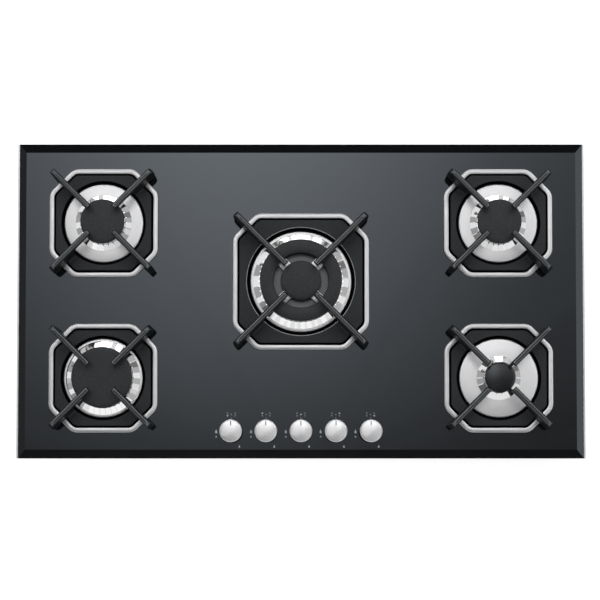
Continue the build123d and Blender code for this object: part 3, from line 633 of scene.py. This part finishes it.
def crown_sections(burner):
    """Solid and port sections of a crown with a flared skirt and an upright ported wall."""
    crown_r = burner.cap - CAP_OVERHANG
    wall_r = crown_r - burner.wall
    lip = burner.cap + SKIRT_LIP
    top = SEAT_RISE + SKIRT_FOOT + (burner.skirt - lip) * SKIRT_SLOPE
    low = top - PORT_SILL
    head = [(burner.skirt - SKIRT_EDGE, SEAT_RISE), (burner.skirt, SEAT_RISE + SKIRT_FOOT),
            (lip + PORT_SILL / SKIRT_SLOPE, low)]
    tail = [(wall_r, low - POINT_GAP), (wall_r, CHAMBER_RISE), (burner.bore, CHAMBER_RISE),
            (burner.bore, SEAT_RISE)]
    solid = [(lip, top), (crown_r, top), (crown_r, CROWN_RISE - CROWN_BEVEL),
             (crown_r - CROWN_BEVEL, CROWN_RISE), (wall_r, CROWN_RISE)]
    slot = [(lip, low), (crown_r, low), (crown_r - CROWN_BEVEL / 2, low),
            (crown_r - CROWN_BEVEL, low), (wall_r, low)]
    return over_glass(head + solid + tail), over_glass(head + slot + tail)


PIN_OFFSET = 3.5  # of the pins' axes from the edge of the cap
ELECTRODE_ANGLE, ELECTRODE_HOLE = 117.0, 3.9
PROBE_ANGLE, PROBE_HOLE = 157.0, 2.5
HOLE_LOW, HOLE_HIGH = DECK + 1.0, DECK + 30.0


def around(angle, radius, x=0.0, y=0.0):
    """Plan point at an angle in degrees and a distance from a centre."""
    return (x + radius * cos(radians(angle)), y + radius * sin(radians(angle)))


for name, burner in BURNERS.items():
    mesh = ported_mesh("crown", *crown_sections(burner), burner.ports, PORT_WIDTH, burner.cap, spans=1)
    crown = new_object(f"crown_{name}", mesh, (burner.x, burner.y))
    holes = [prism(circle_points(*around(angle, burner.cap + PIN_OFFSET), size), HOLE_LOW, HOLE_HIGH)
             for angle, size in ((ELECTRODE_ANGLE, ELECTRODE_HOLE), (PROBE_ANGLE, PROBE_HOLE))]
    cut(crown, mesh_from("holes", *joined(holes)))
    finish_piece(crown, SKIRT, "hob",
                 shared_node(name, "burner_heads"), degrees=2.0)

CHANNEL_R = RING_INNER + 1.2  # outer edge of the middle burner's air channel
INNER_SILL, INNER_WALL, INNER_FLOOR = 9.0, 7.0, 8.0
INNER_PORTS, INNER_PORT_WIDTH = 22, 1.7


def inner_crown_sections():
    """Solid and port sections of the middle burner's air channel and inner ring."""
    wall_r = INNER_CROWN - INNER_WALL
    head = [(CHANNEL_R, SEAT_RISE), (CHANNEL_R, CHAMBER_RISE), (INNER_CAP + 1.4, CHAMBER_RISE),
            (INNER_CAP + 0.6, INNER_SILL)]
    tail = [(wall_r, INNER_SILL - POINT_GAP), (wall_r, INNER_FLOOR), (CROWN_BORE, INNER_FLOOR),
            (CROWN_BORE, SEAT_RISE)]
    solid = [(INNER_CROWN, INNER_SILL), (INNER_CROWN, CROWN_RISE), (wall_r, CROWN_RISE)]
    slot = [(INNER_CROWN + 0.1, INNER_SILL), (INNER_CROWN, INNER_SILL), (wall_r, INNER_SILL)]
    return over_glass(head + solid + tail), over_glass(head + slot + tail)


mesh = ported_mesh("crown", *inner_crown_sections(), INNER_PORTS, INNER_PORT_WIDTH, INNER_CROWN)
channel = new_object("crown_centre_inner", mesh, CENTRE_AT)
finish_piece(channel, CHANNEL, "hob", degrees=25.0)

BRIDGE_HALF, BRIDGE_LOW, BRIDGE_HIGH, BRIDGE_EDGE = 8.0, 5.5, 16.0, 0.8
BRIDGE_START, BRIDGE_END = INNER_CAP - 2.5, RING_INNER + 1.8


def bridge(degrees):
    """Block over the air channel, in a direction from the middle."""
    ux, uy = cos(radians(degrees)), sin(radians(degrees))
    outline = [(ux * r - uy * s, uy * r + ux * s)
               for r, s in ((BRIDGE_START, -BRIDGE_HALF), (BRIDGE_END, -BRIDGE_HALF),
                            (BRIDGE_END, BRIDGE_HALF), (BRIDGE_START, BRIDGE_HALF))]
    return prism(outline, DECK + BRIDGE_LOW, DECK + BRIDGE_HIGH)


bridges = joined([bridge(45 + 90 * k) for k in range(4)])
block = new_object("crown_centre_bridges", mesh_from("bridges", *bridges), CENTRE_AT)
mod = block.modifiers.new("soft", "BEVEL")
mod.width = BRIDGE_EDGE * MM
mod.segments = 3
apply_modifiers(block)
finish_piece(block, SATIN, "hob")

# ---------------------------------------------------------------- discs
DISC_LAP = 2.4  # of a disc under its crown's skirt
DISC_EDGE = [(2.2, 0.0), (1.1, 0.25), (0.3, 0.9), (0.0, 1.5)]  # in from the rim, down from the top

for name, burner in BURNERS.items():
    bore, top = burner.skirt - DISC_LAP, DECK + DISC_RISE
    profile = [(bore, DECK), (bore, top)]
    profile += [(burner.disc - inward, top - drop) for inward, drop in DISC_EDGE]
    profile.append((burner.disc, DECK))
    disc = new_object(f"disc_{name}", lathe_mesh("disc", profile, 160), (burner.x, burner.y))
    finish_piece(disc, DISC, "hob", shared_node(name, "burner_discs"))

# ---------------------------------------------------------------- electrodes and probes
PIN_FOOT = 20.0 - DECK  # the pins go down to the castings under the glass
Pin = namedtuple("Pin", "label angle profile material slot node")
PINS = [
    # the profiles are radius and rise over the glass
    Pin("electrode", ELECTRODE_ANGLE,
        [(0.0, PIN_FOOT), (2.2, PIN_FOOT), (2.2, 3.0), (2.6, 3.6), (2.6, 8.0), (2.0, 9.0), (0.0, 9.0)],
        CERAMIC, "ceramic", "spark_electrodes"),
    Pin("spark_pin", ELECTRODE_ANGLE, [(0.0, 8.8), (1.0, 8.8), (1.0, 14.6), (0.3, 16.0), (0.0, 16.0)],
        PROBE, "probe_steel", None),
    Pin("probe", PROBE_ANGLE, [(0.0, PIN_FOOT), (1.6, PIN_FOOT), (1.6, 13.6), (1.2, 14.6), (0.0, 15.0)],
        PROBE, "probe_steel", "thermocouples"),
]

for name, burner in BURNERS.items():
    for pin in PINS:
        at = around(pin.angle, burner.cap + PIN_OFFSET, burner.x, burner.y)
        rod = new_object(f"{pin.label}_{name}", lathe_mesh(pin.label, over_glass(pin.profile), 24), at)
        finish_piece(rod, pin.material, "hob", shared_node(name, pin.node))


# ---------------------------------------------------------------- octagonal frames
def rounded_octagon(half, leg, radius, steps=6):
    """Plan points of a square with cut and rounded corners, counter-clockwise."""
    a, b = half, half - leg
    corners = [(a, -b), (a, b), (b, a), (-b, a), (-a, b), (-a, -b), (-b, -a), (b, -a)]
    points = []
    n = len(corners)
    turn = radians(45)
    offset = radius * tan(turn / 2)
    for i, c in enumerate(corners):
        p = Vector(c)
        back = (Vector(corners[i - 1]) - p).normalized()
        ahead = (Vector(corners[(i + 1) % n]) - p).normalized()
        start = p + back * offset
        inward = (back + ahead).normalized()
        centre = p + inward * (radius / cos(turn / 2))
        a0 = atan2(start.y - centre.y, start.x - centre.x)
        for k in range(steps + 1):
            ang = a0 + turn * k / steps
            points.append((centre.x + radius * cos(ang), centre.y + radius * sin(ang)))
    return points


FRAME_GAP = 3.3  # from the plate to its frame
CORNER_LEG, PLATE_CORNER, PLATE_TOP = 31.4, 10.0, 6.0
GROUND_RISE = 0.2
FRAME_SECTION = [
    # distance out from the frame's inner edge, height above the glass
    (0.0, 0.0), (0.0, 3.3), (0.25, 3.8), (0.8, 4.0), (3.6, 4.0), (6.2, 3.95),
    (7.0, 3.6), (7.5, 2.9), (7.8, 1.9), (7.9, 0.9), (7.9, 0.0),
]


def frame_outline(plate_half, out):
    """Plan points of the frame at a distance out from its inner edge."""
    gap = FRAME_GAP + out
    return rounded_octagon(plate_half + gap, CORNER_LEG + gap * (2 - sqrt(2)), PLATE_CORNER + gap)


def frame_mesh(plate_half):
    rings = [at_height(frame_outline(plate_half, out), DECK + height) for out, height in FRAME_SECTION]
    return mesh_from("frame", *band(rings))


def ground_mesh(plate_half, disc_r):
    """Thin black field on the glass between a disc and its frame, a painted shade for the gaps there."""
    outer = frame_outline(plate_half, 0.0)
    inner = [(px * disc_r / hypot(px, py), py * disc_r / hypot(px, py)) for px, py in outer]
    low, high = DECK, DECK + GROUND_RISE
    rings = [at_height(outer, low), at_height(outer, high), at_height(inner, high), at_height(inner, low)]
    return mesh_from("ground", *band(rings))


for name, burner in BURNERS.items():
    plate_half, at = SUPPORTS[name].plate_half, (burner.x, burner.y)
    trim = new_object(f"frame_{name}", frame_mesh(plate_half), at)
    finish_piece(trim, SATIN, "hob", shared_node(name, "trim_frames"), degrees=40.0)
    # each burner's black field paints the shade in the gaps round its disc and plate
    ground = new_object(f"ground_{name}", ground_mesh(plate_half, burner.disc), at)
    finish_piece(ground, GAP_SHADE, "hob")


# ---------------------------------------------------------------- pan supports
LEG_ROUND, TIP_ROUND, RIDGE_ROUND, RIM_ROUND = 2.1, 3.0, 1.0, 1.0
LEG_SLOPE = 5.5  # from the end of a ridge out to the face of its leg
# how far off an edge may be: in height, in plan, and round a plate's corner
LEVEL, CLOSE, CORNER_IN, CORNER_ALONG = 0.05, 0.3, 1.3, 1.6
LEG_END_HEIGHT, LEG_END_HALF = 4.0, 2.0  # the least of an upright edge at the end of a leg
SKINS = (IRON, RIDGE, ARRIS_HIGHLIGHT, RIM_HIGHLIGHT)
# the arris and rim skins carry painted highlights
RIDGE_SKIN, ARRIS_HIGHLIGHT_SKIN, RIM_HIGHLIGHT_SKIN = 1, 2, 3


def ends_of(edge):
    return [v.co / MM for v in edge.verts]


def reach(point):
    """Distance from the middle along the diagonal that an arm follows."""
    return (abs(point.x) + abs(point.y)) / sqrt(2)


def on_top(verts):
    """Whether vertices all lie in the ridges' tops."""
    return min(v.co.z for v in verts) / MM > REST - LEVEL


def is_plate_corner(edge, plate_half):
    """Whether an edge of a casting stands at one of the plate's eight outer corners."""
    ends = ends_of(edge)
    if max(p.z for p in ends) > DECK + PLATE_TOP + LEVEL or abs(ends[0].z - ends[1].z) < CLOSE:
        return False
    for p in ends:
        near, far = sorted((abs(p.x), abs(p.y)))
        if far < plate_half - CORNER_IN or abs(near - plate_half + CORNER_LEG) > CORNER_ALONG:
            return False
    return True


def is_leg_end(edge, leg):
    """Whether an edge of a casting stands at the outer end of one of its four legs."""
    ends = ends_of(edge)
    if abs(ends[0].z - ends[1].z) < LEG_END_HEIGHT:
        return False
    return all(reach(p) > leg - CLOSE and abs(abs(p.x) - abs(p.y)) > LEG_END_HALF for p in ends)


def is_tip(edge, leg):
    """Whether an edge of a casting crosses the outer end of one of its four ridges."""
    return on_top(edge.verts) and all(abs(reach(p) - leg + LEG_SLOPE) < CLOSE for p in ends_of(edge))


def is_opening_rim(edge, opening):
    """Whether an edge of a casting runs along the top rim of the plate's round opening."""
    return all(abs(p.z - DECK - PLATE_TOP) < LEVEL and abs(hypot(p.x, p.y) - opening) < CLOSE
               for p in ends_of(edge))


def round_off(bm, edges, size, segments, skin=0):
    bmesh.ops.bevel(bm, geom=edges, offset=size * MM, segments=segments, profile=0.5, affect="EDGES",
                    material=skin)


def softened(name, node, support, at):
    """A copy of a cast node with rounded plate corners and edges; the ridges' edges and tips get a
    glossier skin whose paler colour is a painted highlight, and the middle plate's opening rim a light
    grey painted highlight.
    """
    bm = bmesh.new()
    bm.from_mesh(nodes[node].data)
    bmesh.ops.remove_doubles(bm, verts=bm.verts, dist=0.002 * MM)
    bmesh.ops.dissolve_limit(bm, angle_limit=radians(0.4), verts=bm.verts, edges=bm.edges)
    bmesh.ops.translate(bm, verts=bm.verts, vec=(-at[0] * MM, -at[1] * MM, 0))
    round_off(bm, [edge for edge in bm.edges if is_plate_corner(edge, support.plate_half)],
              PLATE_CORNER * tan(pi / 8), 6)
    round_off(bm, [edge for edge in bm.edges if is_leg_end(edge, support.leg)], LEG_ROUND, 4)
    for face in bm.faces:
        if on_top(face.verts):
            face.material_index = RIDGE_SKIN
    # the tips and the ridges' edges take the paler skin, a painted highlight
    round_off(bm, [edge for edge in bm.edges if is_tip(edge, support.leg)], TIP_ROUND, 5, ARRIS_HIGHLIGHT_SKIN)
    round_off(bm, [edge for edge in bm.edges if on_top(edge.verts)], RIDGE_ROUND, 4, ARRIS_HIGHLIGHT_SKIN)
    # the middle plate's opening rim takes a light grey skin, a painted highlight
    if name == "support_centre":
        rims = [edge for edge in bm.edges if is_opening_rim(edge, support.opening)]
        round_off(bm, rims, RIM_ROUND, 2, RIM_HIGHLIGHT_SKIN)
    mesh = bpy.data.meshes.new(name)
    bm.to_mesh(mesh)
    bm.free()
    return new_object(name, mesh, at)


for name, burner in BURNERS.items():
    casting = softened(f"support_{name}", f"pan_support_{name}", SUPPORTS[name], (burner.x, burner.y))
    places = [face.material_index for face in casting.data.polygons]
    finish_piece(casting, SKINS[0], f"support_{name}", (f"pan_support_{name}",), degrees=35.0)
    for extra in SKINS[1:]:
        casting.data.materials.append(extra)
    casting.data.polygons.foreach_set("material_index", places)
    weigh = casting.modifiers.new("even", "WEIGHTED_NORMAL")
    weigh.keep_sharp = True
    weigh.weight = 80
    apply_modifiers(casting)

# ---------------------------------------------------------------- knobs
KNOB_LOW, KNOB_TOP = DECK + 4.5, DECK + 25.0
BODY_R, BODY_TOP = 17.3, KNOB_TOP - 5.0  # the foot under a knob's metal cap
KNOB_FOOT = [(1.0, 0.0), (0.3, 0.3), (0.0, 1.0)]  # in from the foot's side, up from its underside
KNOB_SIDE = [(17.85, 5.0), (17.85, 3.2), (17.6, 2.1), (16.9, 1.3)]  # radius, down from the top
DOME_R, DOME_DROP = 16.2, 0.95
FACET_REACH, FACET_DROP, FACET_SLOPE = 14.8, 0.85, radians(30)
GROOVE, GROOVE_DEPTH = (0.75, 8.6, 15.3), 1.4  # half width and both ends of the pointer's groove
INK, INK_DEPTH, INK_THICK = (0.7, 8.7, 15.2), 1.5, 0.2
SLEEVE_LOW, SLEEVE_HIGH = KNOB_LOW + 0.4, BODY_TOP + 0.1
SLEEVE_SECTION = [(17.2, SLEEVE_LOW), (17.45, SLEEVE_LOW), (17.7, SLEEVE_LOW + 0.6),
                  (17.7, SLEEVE_HIGH), (17.2, SLEEVE_HIGH)]
SEAL_SECTION = over_glass([(9.0, 0.0), (9.0, 0.9), (15.8, 1.2), (16.5, 0.8), (16.7, 0.0)])


def knob_profile():
    """Half section of a knob: a slimmer foot, the side of its metal cap and a low dome."""
    points = [(0, KNOB_LOW)] + [(BODY_R - inward, KNOB_LOW + rise) for inward, rise in KNOB_FOOT]
    points.append((BODY_R, BODY_TOP))
    points += [(r, KNOB_TOP - drop) for r, drop in KNOB_SIDE]
    points.append((DOME_R, KNOB_TOP - DOME_DROP))
    steps = 10
    for i in range(1, steps + 1):
        r = DOME_R * (1 - i / steps)
        points.append((r, KNOB_TOP - DOME_DROP * (r / DOME_R) ** 2))
    return points


def cut_facets(knob):
    """Slice a sloping facet off the left and the right side of a knob's top."""
    bm = bmesh.new()
    bm.from_mesh(knob.data)
    for side in (-1, 1):
        point = Vector((side * FACET_REACH, 0, KNOB_TOP - FACET_DROP)) * MM
        normal = Vector((sin(FACET_SLOPE) * side, 0, cos(FACET_SLOPE)))
        got = bmesh.ops.bisect_plane(bm, geom=bm.verts[:] + bm.edges[:] + bm.faces[:], plane_co=point,
                                     plane_no=normal, clear_outer=True)
        edges = [e for e in got["geom_cut"] if isinstance(e, bmesh.types.BMEdge)]
        bmesh.ops.contextual_create(bm, geom=edges)
    bmesh.ops.recalc_face_normals(bm, faces=bm.faces)
    bm.to_mesh(knob.data)
    bm.free()


for number, x in enumerate(KNOB_XS, start=1):
    at, body = (x, KNOB_Y), f"control_{number}"
    knob = new_object(f"dial_{number}", lathe_mesh("knob", knob_profile(), 96), at)
    cut_facets(knob)
    cut(knob, mesh_from("groove", *prism(upright_bar(*GROOVE), KNOB_TOP - GROOVE_DEPTH, KNOB_TOP + 2)))
    finish_piece(knob, KNOB, body, (f"knob_{number}",), degrees=28.0)
    ink = prism(upright_bar(*INK), KNOB_TOP - INK_DEPTH, KNOB_TOP - INK_DEPTH + INK_THICK)
    pointer = new_object(f"pointer_{number}", mesh_from("pointer", *ink), at)
    finish_piece(pointer, POINTER, body)
    sleeve = new_object(f"dial_body_{number}", lathe_mesh("body", SLEEVE_SECTION, 96), at)
    finish_piece(sleeve, BODY, body)
    seat = new_object(f"knob_seal_{number}", lathe_mesh("seal", SEAL_SECTION, 64), at)
    finish_piece(seat, KNOB_SEAL, "hob")

# ---------------------------------------------------------------- printed marks
PRINT_LOW, PRINT_TOP = DECK, DECK + 0.04
DOT_R, HOLLOW_OUT, HOLLOW_IN = 1.25, 1.15, 0.85
DOTS_AHEAD, DOT_ACROSS, DOT_ALONG = 26.5, 6.0, 1.9
TICK = (0.3, 19.8, 22.0)  # half width and both ends, ahead of a knob's axis
LARGE_FLAME, SMALL_FLAME = (-23.8, 0.0, 6.6), (12.9, -23.6, 5.0)  # place beside a knob, height
SPARK = (-23.8, -8.7, 1.9)
FLAME_SLIM, SPARK_POINTS, SPARK_WAIST = 0.78, 8, 0.42
BURNER_DOTS = [(-1, -1), (-1, 1), (0, 0), (1, -1), (1, 1)]
KNOB_DOTS = [(-1, -1), (-1, 1), (0, 0), (1, 1), (1, -1)]  # the filled dot of each knob


def flame(cx, cy, height):
    """Outline of a small flame: a round foot, a leaning tip and a notch on the right."""
    shape = [(0.0, 0.0), (0.20, 0.03), (0.33, 0.16), (0.36, 0.34), (0.28, 0.52), (0.18, 0.60),
             (0.17, 0.50), (0.10, 0.72), (0.0, 1.0), (-0.06, 0.80), (-0.20, 0.62), (-0.32, 0.42),
             (-0.35, 0.24), (-0.28, 0.10), (-0.14, 0.02)]
    return [(cx + px * height * FLAME_SLIM, cy + (py - 0.5) * height) for px, py in shape]


def star(cx, cy, size):
    """Outline of a star that stands for the spark."""
    points = []
    for k in range(2 * SPARK_POINTS):
        r = size if k % 2 == 0 else size * SPARK_WAIST
        a = pi * k / SPARK_POINTS
        points.append((cx + r * cos(a), cy + r * sin(a)))
    return points


def printed(points):
    return prism(points, PRINT_LOW, PRINT_TOP)


def hollow_dot(cx, cy):
    outer, inner = circle_points(cx, cy, HOLLOW_OUT), circle_points(cx, cy, HOLLOW_IN)
    return band([at_height(outer, PRINT_LOW), at_height(outer, PRINT_TOP),
                 at_height(inner, PRINT_TOP), at_height(inner, PRINT_LOW)])


def beside(x, mark):
    """A mark's place and size on the glass, from its place beside the knob at x."""
    return x + mark[0], KNOB_Y + mark[1], mark[2]


marks = []
for x, filled in zip(KNOB_XS, KNOB_DOTS):
    for dot in BURNER_DOTS:
        px, py = x + dot[0] * DOT_ACROSS, KNOB_Y + DOTS_AHEAD + dot[1] * DOT_ALONG
        if dot == filled:
            marks.append(printed(circle_points(px, py, DOT_R)))
        else:
            marks.append(hollow_dot(px, py))
    marks.append(printed(upright_bar(TICK[0], KNOB_Y + TICK[1], KNOB_Y + TICK[2], x)))
    marks.append(printed(flame(*beside(x, LARGE_FLAME))))
    marks.append(printed(star(*beside(x, SPARK))))
    marks.append(printed(flame(*beside(x, SMALL_FLAME))))
print_marks = new_object("printed_marks", mesh_from("marks", *joined(marks)))
finish_piece(print_marks, PRINT, "hob")

# ---------------------------------------------------------------- floor
FLOOR = 30.0  # half its width, in metres
FLOOR_SHADE = (0.8, 0.8, 0.8, 1)
FLOOR_GLOW, FLOOR_LIFT = 0.8, 0.66  # light in reflections, and light that lifts the floor to white


def floor_material():
    """White to the eye save for the object's soft shadow, pale to reflections, matt to the rest."""
    mat = bpy.data.materials.new("floor")
    mat.use_nodes = True
    w = Wires(mat.node_tree)
    w.tree.nodes.clear()
    matt = w.node("ShaderNodeBsdfDiffuse", Color=FLOOR_SHADE).outputs[0]
    pale = w.node("ShaderNodeEmission", Strength=FLOOR_GLOW).outputs[0]
    lift = w.node("ShaderNodeEmission", Strength=FLOOR_LIFT).outputs[0]
    white = w.node("ShaderNodeAddShader")
    w.link(matt, white.inputs[0])
    w.link(lift, white.inputs[1])
    shader = w.by_ray("Is Glossy Ray", matt, pale)
    shader = w.by_ray("Is Camera Ray", shader, white.outputs[0])
    w.link(shader, w.node("ShaderNodeOutputMaterial").inputs["Surface"])
    return mat


floor_mesh = bpy.data.meshes.new("floor")
floor_mesh.from_pydata([(-FLOOR, -FLOOR, 0), (FLOOR, -FLOOR, 0), (FLOOR, FLOOR, 0), (-FLOOR, FLOOR, 0)],
                       [], [[0, 1, 2, 3]])
floor = bpy.data.objects.new("floor", floor_mesh)
bpy.context.scene.collection.objects.link(floor)
floor_mesh.materials.append(floor_material())

# ---------------------------------------------------------------- studio
# Strengths of what reflections show. Places are parts of a unit direction: x right, y rear, z up.
OVERHEAD_FRONT, OVERHEAD_REAR = 0.566, 4.8
RIGHT_BOX, LEFT_BOX = 2.1, 0.36
WALL, FRONT_WALL, REAR_LAMP = 0.72, 0.5, 2.6
CORNER_FRONT, CORNER_REAR = 0.8, 4.0
SHINE, DOME = (0.8, 0.8, 0.8, 1.0), 0.55
WHITE = (1.0, 1.0, 1.0, 1.0)


def overhead_box(w, x, y, z):
    """Softbox above: brightest at the rear, falling to the front and the sides."""
    side = w.math("ABSOLUTE", w.total(x, 0.04))
    rise = w.ramp(y, 0.0, 0.26, OVERHEAD_FRONT, OVERHEAD_REAR, "LINEAR")
    spread = w.ramp(side, 0.0, 0.23, 1.0, 0.31)
    ends = w.product(w.ramp(y, 0.36, 0.46, 1.0, 0.0), w.ramp(y, -0.30, -0.12, 0.15, 1.0))
    return w.product(rise, spread, ends, w.ramp(side, 0.36, 0.50, 1.0, 0.0), w.ramp(z, 0.5, 0.7))


def side_boxes(w, x, z):
    """Tall softbox on the right, and a weaker one on the left."""
    high = w.product(w.ramp(z, 0.62, 0.72), w.ramp(z, 0.90, 0.96, 1.0, 0.0))
    right = w.product(w.ramp(x, 0.40, 0.52), high, RIGHT_BOX)
    left = w.product(w.ramp(w.product(x, -1.0), 0.40, 0.52), high, LEFT_BOX)
    return w.total(right, left)


def stripes(w, place, count, dark, bright, where):
    """Alternating change of light along a wall; count is in radians per unit of its place."""
    wave = w.math("SINE", w.product(place, count))
    return w.product(w.ramp(wave, -0.2, 0.2, dark, bright), where)


def past_stand(w, place, at, half, depth, where):
    """What is left of the light behind a dark stand on a wall."""
    off = w.math("ABSOLUTE", w.math("SUBTRACT", place, at))
    cover = w.product(w.ramp(off, half * 0.8, half * 1.2, depth, 0.0), where)
    return w.math("SUBTRACT", 1.0, cover)


def low_walls(w, z, ahead, across):
    """Pale walls near the horizon with panels, gaps and stands, and a lamp at the rear."""
    to_left, to_right = w.ramp(across, -0.75, -0.60, 1.0, 0.0), w.ramp(across, 0.60, 0.75)
    to_front, to_rear = w.ramp(ahead, -0.75, -0.60, 1.0, 0.0), w.ramp(ahead, 0.0, 0.2)
    off_middle = w.math("ABSOLUTE", across)
    walls = w.total(WALL, w.ramp(ahead, -0.85, -0.60, FRONT_WALL, 0.0),
                    stripes(w, ahead, 13.0, -0.3, 0.3, to_left),
                    stripes(w, across, 36.0, -0.22, 0.0, to_front),
                    stripes(w, ahead, 16.0, -0.2, 0.3, to_right))
    walls = w.product(walls, past_stand(w, off_middle, 0.5, 0.04, 0.85, to_rear),
                      past_stand(w, ahead, 0.47, 0.07, 0.8, to_right),
                      past_stand(w, ahead, -0.45, 0.09, 0.7, to_left))
    lamp = w.product(w.ramp(ahead, 0.90, 0.96), w.ramp(z, 0.38, 0.55, 1.0, 0.0), REAR_LAMP,
                     past_stand(w, off_middle, 0.21, 0.045, 0.95, to_rear))
    return w.total(w.product(w.ramp(z, 0.45, 0.68, 1.0, 0.08), walls), lamp)


def corner_lamps(w, z, ahead, across):
    """Four lamps over the diagonals, which draw the lines along the arms."""
    slant = w.ramp(w.math("ABSOLUTE", w.product(ahead, across)), 0.38, 0.47)
    ridge = w.product(w.ramp(z, 0.60, 0.66), w.ramp(z, 0.78, 0.84, 1.0, 0.0),
                      w.ramp(ahead, -0.3, 0.3, CORNER_FRONT, CORNER_REAR))
    return w.product(slant, ridge)


def build_world():
    """White to the eye; a graded studio to reflections; an even dome to matt surfaces."""
    world = bpy.data.worlds.new("studio")
    bpy.context.scene.world = world
    world.use_nodes = True
    w = Wires(world.node_tree)
    w.tree.nodes.clear()
    x, y, z = w.parts(w.node("ShaderNodeTexCoord").outputs["Generated"])
    level = w.length(x, y)
    ahead, across = w.math("DIVIDE", y, level), w.math("DIVIDE", x, level)
    seen = w.total(overhead_box(w, x, y, z), low_walls(w, z, ahead, across), side_boxes(w, x, z),
                   corner_lamps(w, z, ahead, across))
    shine = w.node("ShaderNodeBackground", Color=SHINE)
    w.link(seen, shine.inputs["Strength"])
    even = w.node("ShaderNodeBackground", Color=SHINE, Strength=DOME)
    white = w.node("ShaderNodeBackground", Color=WHITE, Strength=1.0)
    shader = w.by_ray("Is Glossy Ray", even.outputs[0], shine.outputs[0])
    shader = w.by_ray("Is Camera Ray", shader, white.outputs[0])
    w.link(shader, w.node("ShaderNodeOutputWorld").inputs["Surface"])


build_world()

LAMP_AIM = (0.0, 0.0, 0.06)


def soft_lamp(name, place, size, watts):
    """Lamp for matt surfaces only; reflections have the studio."""
    light = bpy.data.lights.new(name, "AREA")
    light.shape = "RECTANGLE"
    light.size, light.size_y = size
    light.energy = watts
    ob = bpy.data.objects.new(name, light)
    bpy.context.scene.collection.objects.link(ob)
    ob.location = place
    ob.rotation_euler = (Vector(LAMP_AIM) - Vector(place)).to_track_quat("-Z", "Y").to_euler()
    ob.visible_glossy = False


soft_lamp("key_back", (0.3, 1.5, 2.3), (1.8, 0.8), 32.0)
soft_lamp("fill_left", (-2.0, -0.4, 1.8), (1.0, 1.6), 14.0)

# ---------------------------------------------------------------- camera
CAMERA_AT = (-0.00143, -0.28956, 2.57950)
CAMERA_TILT = radians(2.275)  # off straight down
camera_data = bpy.data.cameras.new("camera")
camera_data.sensor_width = 36.0
camera_data.sensor_fit = "AUTO"
camera_data.lens = 96.0
camera_data.shift_y = 0.2
camera_data.clip_end = 100.0
camera = bpy.data.objects.new("camera", camera_data)
bpy.context.scene.collection.objects.link(camera)
camera.location = CAMERA_AT
camera.rotation_euler = (CAMERA_TILT, 0.0, 0.0)
bpy.context.scene.camera = camera
bpy.context.scene.view_settings.view_transform = "Standard"
